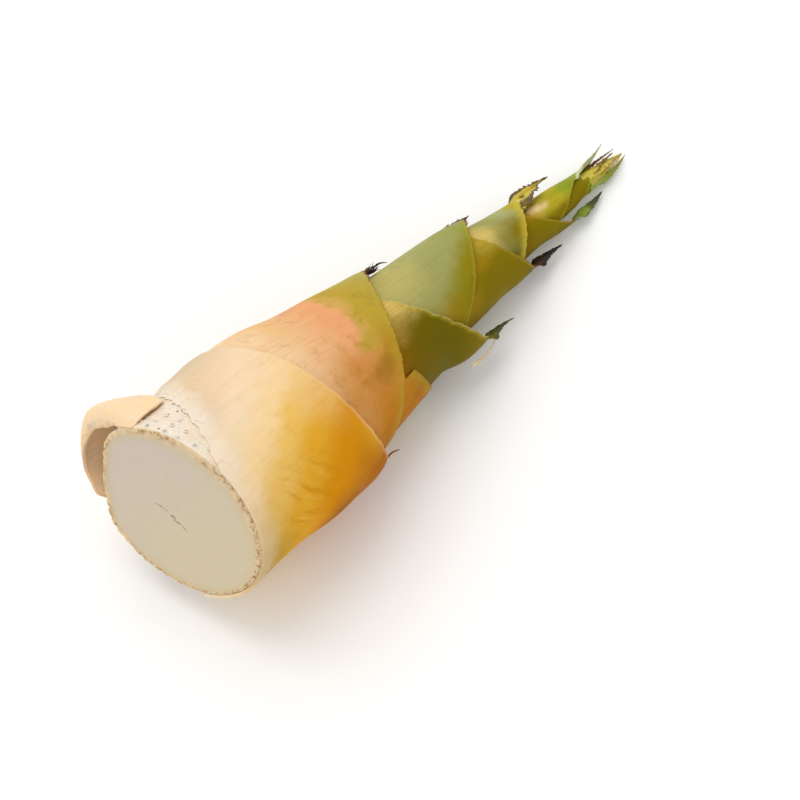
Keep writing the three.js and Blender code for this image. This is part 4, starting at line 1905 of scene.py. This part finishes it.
@dataclass(frozen=True)
class Studio:
    """A plain pale floor, soft lights and the camera."""

    floor_size: float = 8.0
    target: tuple[float, float, float] = (-0.0218, -0.0216, 0.0125)
    azimuth: float = -48.71
    elevation: float = 58.89
    distance: float = 1.1004
    lens: float = 118.8
    sky: float = 0.8
    lamps: tuple[Lamp, ...] = (
        Lamp("key", 170.0, 64.0, 2.2, 2.0, 20.0, (1.0, 0.98, 0.95)),
        Lamp("fill", -60.0, 35.0, 1.8, 1.4, 2.0, (0.97, 0.98, 1.0)),
    )

    def floor(self) -> None:
        """Lay the floor."""
        bpy.ops.mesh.primitive_plane_add(size=self.floor_size)
        floor = bpy.context.object
        floor.name = "floor"
        paint = Paint("floor")
        grain = paint.noise(paint.place(), 3.0, 2.0)
        shade = paint.ease(grain, 0.0, 1.0, 0.95, 0.97)
        floor.data.materials.append(paint.finish(paint.vector(shade, shade, shade), 0.7, shine=0.2))
        floor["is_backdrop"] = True

    def light(self, lamp: Lamp) -> None:
        """Hang a light, aimed at the shoot.

        Args:
            lamp: the light.
        """
        made = bpy.data.lights.new(lamp.name, "AREA")
        made.shape = "DISK"
        made.size = lamp.size
        made.energy = lamp.power
        made.color = lamp.color
        held = bpy.data.objects.new(lamp.name, made)
        bpy.context.scene.collection.objects.link(held)
        self.aim(held, lamp.azimuth, lamp.elevation, lamp.distance)

    def aim(self, held: bpy.types.Object, azimuth: float, elevation: float, distance: float) -> None:
        """Hold a light or the camera up round the shoot, facing it.

        Args:
            held: the light or the camera.
            azimuth: degrees round the shoot.
            elevation: degrees above the floor.
            distance: how far off, in metres.
        """
        a, e = math.radians(azimuth), math.radians(elevation)
        way = Vector((math.sin(a) * math.cos(e), -math.cos(a) * math.cos(e), math.sin(e)))
        held.location = Vector(self.target) + way * distance
        held.rotation_euler = (-way).to_track_quat("-Z", "Y").to_euler()

    def built(self) -> None:
        """Set up the floor, the lights, the sky and the camera."""
        self.floor()
        for lamp in self.lamps:
            self.light(lamp)
        world = bpy.data.worlds.new("sky")
        world.use_nodes = True
        world.node_tree.nodes["Background"].inputs["Color"].default_value = (1.0, 1.0, 1.0, 1.0)
        world.node_tree.nodes["Background"].inputs["Strength"].default_value = self.sky
        scene = bpy.context.scene
        scene.world = world
        scene.view_settings.view_transform = "Standard"
        lens = bpy.data.cameras.new("camera")
        lens.lens = self.lens
        lens.sensor_width = 36.0
        camera = bpy.data.objects.new("camera", lens)
        scene.collection.objects.link(camera)
        self.aim(camera, self.azimuth, self.elevation, self.distance)
        scene.camera = camera


BROWN_BRISTLES = BristleFinish(Tint.BROWN, Tint.DARK_BROWN)
DARK_BRISTLES = BristleFinish(Tint.DARK_BROWN, Tint.BLACK_BROWN)
GREEN_BRISTLES = BristleFinish(Tint.OLIVE, Tint.DARK_GREEN)

SHEATHS = (
    Sheath(
        name="sheath_1", node=0, apex=97, bearing=180, turn=Turn.AGAINST_BEARING, fall=45, power=0.72,
        back_fall=45, back_power=0.72, inset=0, wall=1.5, flare=2.0, front=180, back=180,
        finish=SheathFinish(
            low=0, high=150, swing=60, swing_bearing=160,
            # The AMBER end of the ramp, which the swing brings down the lower flank, is partly the sheath's
            # own deep gold and partly painted shade.
            stops=((0.0, Tint.GREY_CREAM), (0.22, Tint.CREAM), (0.36, Tint.STRAW), (0.47, Tint.YELLOW),
                   (0.6, Tint.GOLD), (0.72, Tint.DEEP_GOLD), (0.95, Tint.AMBER)),
            # The TAN blush at height 8, bearing 148 and the MUSTARD blush at height 16, bearing 162 are
            # painted shade that darkens the lower flank near the foot.
            blushes=(Blush(40, 42, 26, 36, Tint.PINK_CREAM, 0.5), Blush(64, 70, 14, 40, Tint.PEACH, 0.5),
                     Blush(8, 148, 20, 40, Tint.TAN, 0.7), Blush(16, 162, 20, 28, Tint.MUSTARD, 0.6),
                     # The RUST blush at height 58, bearing 176 is partly the sheath's own colour and partly
                     # painted shade along the lower flank.
                     Blush(58, 176, 16, 28, Tint.RUST, 0.9), Blush(80, 126, 12, 22, Tint.GOLD, 0.7)),
            margin=Margin(Tint.ORANGE, 0.5, 0.25, Tint.PINK_CREAM, 2.0, 0.3),
            vein=Tint.BURNT_ORANGE, vein_strength=0.1, mottle=Tint.BURNT_ORANGE, mottle_strength=0.1,
            # The crease blush's AMBER is painted shade on the wrinkles' shadow sides.
            roughness=0.48, wander=3.5, crease=Blush(36, 134, 19, 26, Tint.AMBER), collar=Tint.BAND),
        blade=Blade(6, 5, 7, BladeFinish(Tint.GOLD, Tint.RUST, Tint.BROWN, 0.4), lift=1.0, teeth=0.3),
        fray=0.35, wave=0.3, cell=1.25, seed=11),
    Sheath(
        name="sheath_2", node=44, apex=148, bearing=0, turn=Turn.WITH_BEARING, fall=53, power=0.75,
        back_fall=16, back_power=2.6, inset=2.2, wall=0.75, flare=-1.7, front=190, back=235,
        finish=SheathFinish(
            low=60, high=140,
            stops=((0.0, Tint.PEACH), (0.25, Tint.APRICOT), (0.5, Tint.SALMON), (0.57, Tint.TAN),
                   (0.64, Tint.OLIVE_YELLOW), (1.0, Tint.PALE_GREEN)),
            blushes=(Blush(102, 150, 60, 62, Tint.BURNT_ORANGE), Blush(112, 104, 16, 16, Tint.MUSTARD, 0.6),
                     Blush(90, 104, 26, 32, Tint.BURNT_ORANGE, 0.5),
                     Blush(106, 84, 9, 10, Tint.OLIVE_YELLOW, 0.7),
                     Blush(101, 110, 8, 11, Tint.BROWN_OLIVE, 0.45),
                     Blush(74, 22, 7, 30, Tint.YELLOW, 0.35), Blush(122, 40, 12, 50, Tint.OLIVE_YELLOW, 0.6),
                     Blush(130, 148, 30, 36, Tint.AMBER, 0.8), Blush(132, 170, 20, 40, Tint.RUST, 0.6),
                     Blush(126, 134, 14, 24, Tint.BROWN_OLIVE, 0.75),
                     Blush(98, 172, 16, 30, Tint.RUST, 0.8)),
            margin=Margin(Tint.BROWN, 0.6, 0.55, Tint.OLIVE_YELLOW, 10.0, 0.5),
            vein=Tint.BURNT_ORANGE, vein_strength=0.16, mottle_strength=0.22, roughness=0.48,
            wander=8.0),
        blade=Blade(4, 7, 2.4, BladeFinish(Tint.BROWN, Tint.BLACK_BROWN, Tint.BLACK_BROWN, 0.1), lift=-2.0,
                    curl=0.4),
        fringes=(Fringe(5, 15, 46, 4.8, 150, 34, -2.0, 0.4, 5, DARK_BRISTLES, 3, 1.8),
                 Fringe(8, 18, 16, 5.0, 170, 14, 0.2, 0.4, 25, BROWN_BRISTLES),
                 Fringe(4, 40, 26, 2.0, 30, 16, 0.5, 0.2, 6, BROWN_BRISTLES)),
        wave=0.4, seed=12, flare_below=16, flare_length=15),
    Sheath(
        name="sheath_3", node=70, apex=169, bearing=170, turn=Turn.AGAINST_BEARING, fall=72, power=0.98,
        back_fall=66, back_power=0.9, inset=4.6, wall=0.7, flare=4.2, front=190, back=190,
        finish=SheathFinish(
            low=95, high=170,
            stops=((0.0, Tint.RUST), (0.25, Tint.BROWN_OLIVE), (0.6, Tint.DEEP_OLIVE), (1.0, Tint.OLIVE)),
            blushes=(Blush(130, 68, 22, 26, Tint.PALE_OLIVE), Blush(126, 72, 20, 20, Tint.YELLOW, 0.35),
                     Blush(114, 94, 12, 12, Tint.TAN, 0.4),
                     Blush(108, 120, 12, 30, Tint.RUST, 0.5)),
            margin=Margin(Tint.PAPER, 0.6, 0.4, Tint.YELLOW_GREEN, 3.0, 0.5),
            vein=Tint.BROWN_OLIVE, vein_strength=0.3, mottle_strength=0.14, roughness=0.46),
        blade=Blade(6, 15, 5.4, BladeFinish(Tint.MOSS, Tint.DARK_GREEN, Tint.DARK_GREEN, 0.1), lift=0.4,
                    curl=-0.8, twist=60, waist=1.2, taper=1.0, frill=0.4, teeth=0.35, open_from=-5,
                    open_over=6),
        fray=0.9, wave=0.5, cell=1.1, seed=13),
    Sheath(
        name="sheath_4", node=84, apex=199, bearing=0, turn=Turn.WITH_BEARING, fall=56, power=1.25,
        back_fall=60, back_power=1.2, inset=6.85, wall=0.7, flare=0, front=190, back=190,
        finish=SheathFinish(
            low=125, high=240, swing=40, swing_bearing=140,
            stops=((0.0, Tint.PALE_SAGE), (0.42, Tint.SAGE), (0.58, Tint.MOSS), (0.72, Tint.OLIVE),
                   (1.0, Tint.OLIVE)),
            blushes=(Blush(132, 40, 24, 50, Tint.PALE_OLIVE, 0.6),
                     Blush(128, 30, 18, 40, Tint.GREY_GREEN, 0.4),
                     Blush(186, 44, 10, 22, Tint.LEAF_GREEN, 0.5),
                     Blush(146, 124, 14, 30, Tint.MUSTARD, 0.6)),
            margin=Margin(Tint.DARK_BROWN, 0.6, 0.5, Tint.OLIVE_YELLOW, 3.0, 0.45),
            vein=Tint.OLIVE, vein_strength=0.16, roughness=0.52),
        blade=Blade(4, 4, 4, BladeFinish(Tint.BROWN, Tint.DARK_BROWN, Tint.BLACK_BROWN, 0.1)),
        fringes=(Fringe(-6, 3, 80, 3.4, 6, 5, 0.3, 0.46, 8, DARK_BRISTLES, 13),
                 Fringe(2, 40, 30, 1.6, 24, 10, 0.4, 0.18, 19, BROWN_BRISTLES)),
        cell=1.1, seed=14),
    Sheath(
        name="sheath_5", node=105, apex=214, bearing=180, turn=Turn.AGAINST_BEARING, fall=40, power=0.95,
        back_fall=42, back_power=0.95, inset=8.95, wall=0.65, flare=1.6, front=190, back=190,
        finish=SheathFinish(
            low=155, high=215,
            stops=((0.0, Tint.MUSTARD), (0.35, Tint.OLIVE), (0.7, Tint.OLIVE), (1.0, Tint.DEEP_OLIVE)),
            blushes=(Blush(188, 70, 16, 22, Tint.OLIVE_YELLOW, 0.95),
                     Blush(174, 92, 14, 12, Tint.MUSTARD, 0.7)),
            margin=Margin(Tint.BROWN, 0.5, 0.4, Tint.OLIVE_YELLOW, 2.2, 0.4),
            vein=Tint.BROWN_OLIVE, roughness=0.46),
        blade=Blade(8, 15.5, 5.6, BladeFinish(Tint.BROWN, Tint.BLACK_BROWN, Tint.BLACK_BROWN, 0.05),
                    lift=-0.4, curl=-0.6, twist=60, bias=0.0, waist=1.1, taper=0.75, frill=0.5,
                    teeth=0.5, up=2.5, open_from=-5),
        fringes=(Fringe(-16, 16, 24, 2.4, 30, 20, 0.4, 0.18, 9),),
        fray=0.4, cell=1.05, seed=15),
    Sheath(
        name="sheath_6", node=150, apex=229, bearing=10, turn=Turn.WITH_BEARING, fall=32, power=1.0,
        back_fall=34, back_power=1.0, inset=10.95, wall=0.62, flare=0.4, front=190, back=190,
        finish=SheathFinish(
            low=188, high=230,
            stops=((0.0, Tint.PALE_OLIVE), (0.3, Tint.SAGE), (0.55, Tint.PALE_SAGE),
                   (0.78, Tint.YELLOW_GREEN), (1.0, Tint.YELLOW_GREEN)),
            blushes=(Blush(192, 64, 9, 26, Tint.PALE_OLIVE, 0.9), Blush(211, 90, 17, 40, Tint.OLIVE, 1.0),
                     Blush(206, 130, 20, 30, Tint.DEEP_OLIVE, 0.9)),
            margin=Margin(Tint.TAN, 0.6, 0.4, Tint.LIME, 7.0, 0.65),
            vein=Tint.OLIVE, vein_strength=0.2),
        blade=Blade(8, 22.5, 9.6, BladeFinish(Tint.LIME, Tint.BROWN, Tint.DARK_BROWN, 0.55, 0.9, 0.42),
                    lift=0.2, twist=3, back_twist=68, bias=0.0, waist=1.0, taper=0.72, frill=0.5, teeth=0.3,
                    up=-4, front_width=2.0, front_length=0.7, open_from=-2, open_over=9, columns=24),
        fringes=(Fringe(-22, 14, 24, 3.0, 34, 22, 0.5, 0.2, 10),
                 Fringe(12, 62, 44, 2.6, 50, 14, 0.4, 0.26, 20, BROWN_BRISTLES, 1.5)),
        wave=0.4, cell=0.95, seed=16),
    Sheath(
        name="sheath_7", node=170, apex=249, bearing=180, turn=Turn.AGAINST_BEARING, fall=46, power=0.85,
        back_fall=42, back_power=0.85, inset=12.8, wall=0.6, flare=1.0, front=190, back=190,
        finish=SheathFinish(
            low=205, high=250,
            stops=((0.0, Tint.BROWN_OLIVE), (0.4, Tint.OLIVE), (1.0, Tint.DEEP_OLIVE)),
            blushes=(Blush(218, 76, 9, 18, Tint.MUSTARD, 0.6), Blush(232, 120, 8, 40, Tint.MOSS, 0.4)),
            margin=Margin(Tint.OLIVE, 0.6, 0.5, Tint.OLIVE_YELLOW, 2.0, 0.5),
            vein=Tint.BROWN_OLIVE, roughness=0.46),
        blade=Blade(6, 17, 6.4, BladeFinish(Tint.LEAF_GREEN, Tint.DARK_GREEN, Tint.DARK_GREEN, 0.3),
                    lift=-2.4, curl=-0.3, twist=62, bias=0.0, waist=0.8, taper=0.75, frill=0.5,
                    teeth=0.5, up=1.5, open_from=-5, open_over=6),
        fringes=(Fringe(-14, 14, 18, 2.6, 30, 20, 0.4, 0.16, 17, GREEN_BRISTLES),),
        fray=0.35, wave=0.3, cell=0.9, seed=17),
    Sheath(
        name="sheath_8", node=188, apex=266, bearing=15, turn=Turn.WITH_BEARING, fall=40, power=0.9,
        back_fall=40, back_power=0.9, inset=14.7, wall=0.6, flare=0.2, front=190, back=190,
        finish=SheathFinish(
            low=222, high=268,
            stops=((0.0, Tint.TAN), (0.2, Tint.YELLOW_GREEN), (0.4, Tint.YELLOW_GREEN),
                   (0.6, Tint.LEAF_GREEN), (1.0, Tint.PALE_GREEN)),
            blushes=(Blush(247, 56, 12, 14, Tint.LEAF_GREEN, 0.8), Blush(240, 116, 20, 30, Tint.OLIVE, 1.0),
                     Blush(221, 66, 5, 40, Tint.MUSTARD, 0.9), Blush(229, 62, 6, 19, Tint.STRAW, 1.0)),
            margin=Margin(Tint.OLIVE, 0.5, 0.4, Tint.YELLOW_GREEN, 2.0, 0.4),
            vein=Tint.OLIVE, vein_strength=0.3, mottle=Tint.OLIVE, roughness=0.46),
        blade=Blade(8, 20, 7.6, BladeFinish(Tint.PALE_LEAF, Tint.GREY_GREEN, Tint.MOSS, 0.75, 0.35),
                    lift=3.0, twist=48, bias=0.0, waist=1.1, up=-4, open_from=-6, open_over=10),
        fray=0.35, wave=0.3, cell=0.85, seed=18),
)

SLIVER = Blade(1, 19, 1.9, BladeFinish(Tint.PAPER, Tint.PAPER, Tint.ROSE_BROWN, 0.6), lift=-3.4, curl=0.8,
               fold=0.2, twist=60, bias=0.0, frill=0.3, fray=0.5, teeth=0.7, wall=0.4, taper=0.5)
SLIVER_HEIGHT = 155.0
SLIVER_BEARING = 176.0
SLIVER_TURN = -7.0  # degrees from the apex of its sheath
SLIVER_GAP = 3.0  # how far off the sheath it starts

BUD = Bud(
    finish=SheathFinish(
        low=230, high=285,
        stops=((0.0, Tint.OLIVE), (0.45, Tint.OLIVE), (0.65, Tint.LEAF_GREEN), (1.0, Tint.OLIVE_YELLOW)),
        blushes=(Blush(264, 52, 8, 30, Tint.LIME, 0.7),),
        margin=Margin(Tint.YELLOW_GREEN, 1.0, 0.6, Tint.DEEP_OLIVE, 3.0, 0.4),
        vein=Tint.DEEP_OLIVE, vein_strength=0.3, mottle_strength=0.15, roughness=0.46),
    leaves=(
        (268.0, 156.0, Blade(7, 22, 4.2, BladeFinish(Tint.LEAF_GREEN, Tint.MOSS, Tint.OLIVE, 0.6, 0.5),
                             lift=-2.6, curl=0.3, twist=50, bias=0.0, waist=1.1, taper=0.75, teeth=0.15,
                             open_from=-1, open_over=8)),
        (270.0, 108.0, Blade(8, 14, 4.6,
                             BladeFinish(Tint.YELLOW_GREEN, Tint.PALE_OLIVE, Tint.BROWN_OLIVE, 0.4),
                             curl=0.3, side=-8, taper=0.7, frill=0.9, teeth=0.8, seed=4)),
        (271.0, 78.0, Blade(8, 11, 4.2, BladeFinish(Tint.LIME, Tint.PALE_OLIVE, Tint.BROWN_OLIVE, 0.5, 0.7),
                            curl=0.6, side=6, twist=24, taper=0.6, frill=0.9, teeth=0.8, seed=6)),
        (268.0, 50.0, Blade(8, 15, 5.0, BladeFinish(Tint.LIME, Tint.BROWN_OLIVE, Tint.BROWN, 0.3),
                            lift=0.2, twist=16, frill=0.5, teeth=0.6)),
        (266.0, 4.0, Blade(8, 21, 3.4, BladeFinish(Tint.BROWN_OLIVE, Tint.BROWN, Tint.DARK_BROWN, 0.2),
                           lift=-0.6, twist=40, bias=0.0, taper=0.9, frill=0.3, teeth=0.3)),
    ),
)


def main() -> None:
    """Build the shoot piece by piece, then the studio round it."""
    logging.basicConfig(level=logging.INFO, format="%(name)s: %(message)s")
    husk = Husk()
    low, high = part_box("husk")
    reach = husk.far_corner(StemLine())
    line = StemLine(shift=(low.x / MM - reach[0], high.y / MM - reach[1]))
    log.info("frame shifted by %.3f, %.3f mm", *line.shift)
    shop = Workshop(line)
    Stem().built(shop, SHEATHS, husk)
    husk.built(shop)
    for outer, sheath in zip((None, *SHEATHS), SHEATHS):
        sheath.built(shop, outer)
    third = SHEATHS[2]
    SLIVER.built(shop, "sheath_3_sliver", SLIVER_HEIGHT, SLIVER_BEARING,
                 lambda h: third.radius(line, h, np.full_like(h, SLIVER_TURN)) + SLIVER_GAP, 1, third.name)
    BUD.built(shop)
    Studio().built()
    bpy.context.view_layer.update()
    boxes = {"cad": CAD_BOX, "visual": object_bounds()}
    for name, box in boxes.items():
        log.info("%s box: %s", name, [[round(x, 4) for x in corner] for corner in box])


if __name__ == "__main__":
    main()
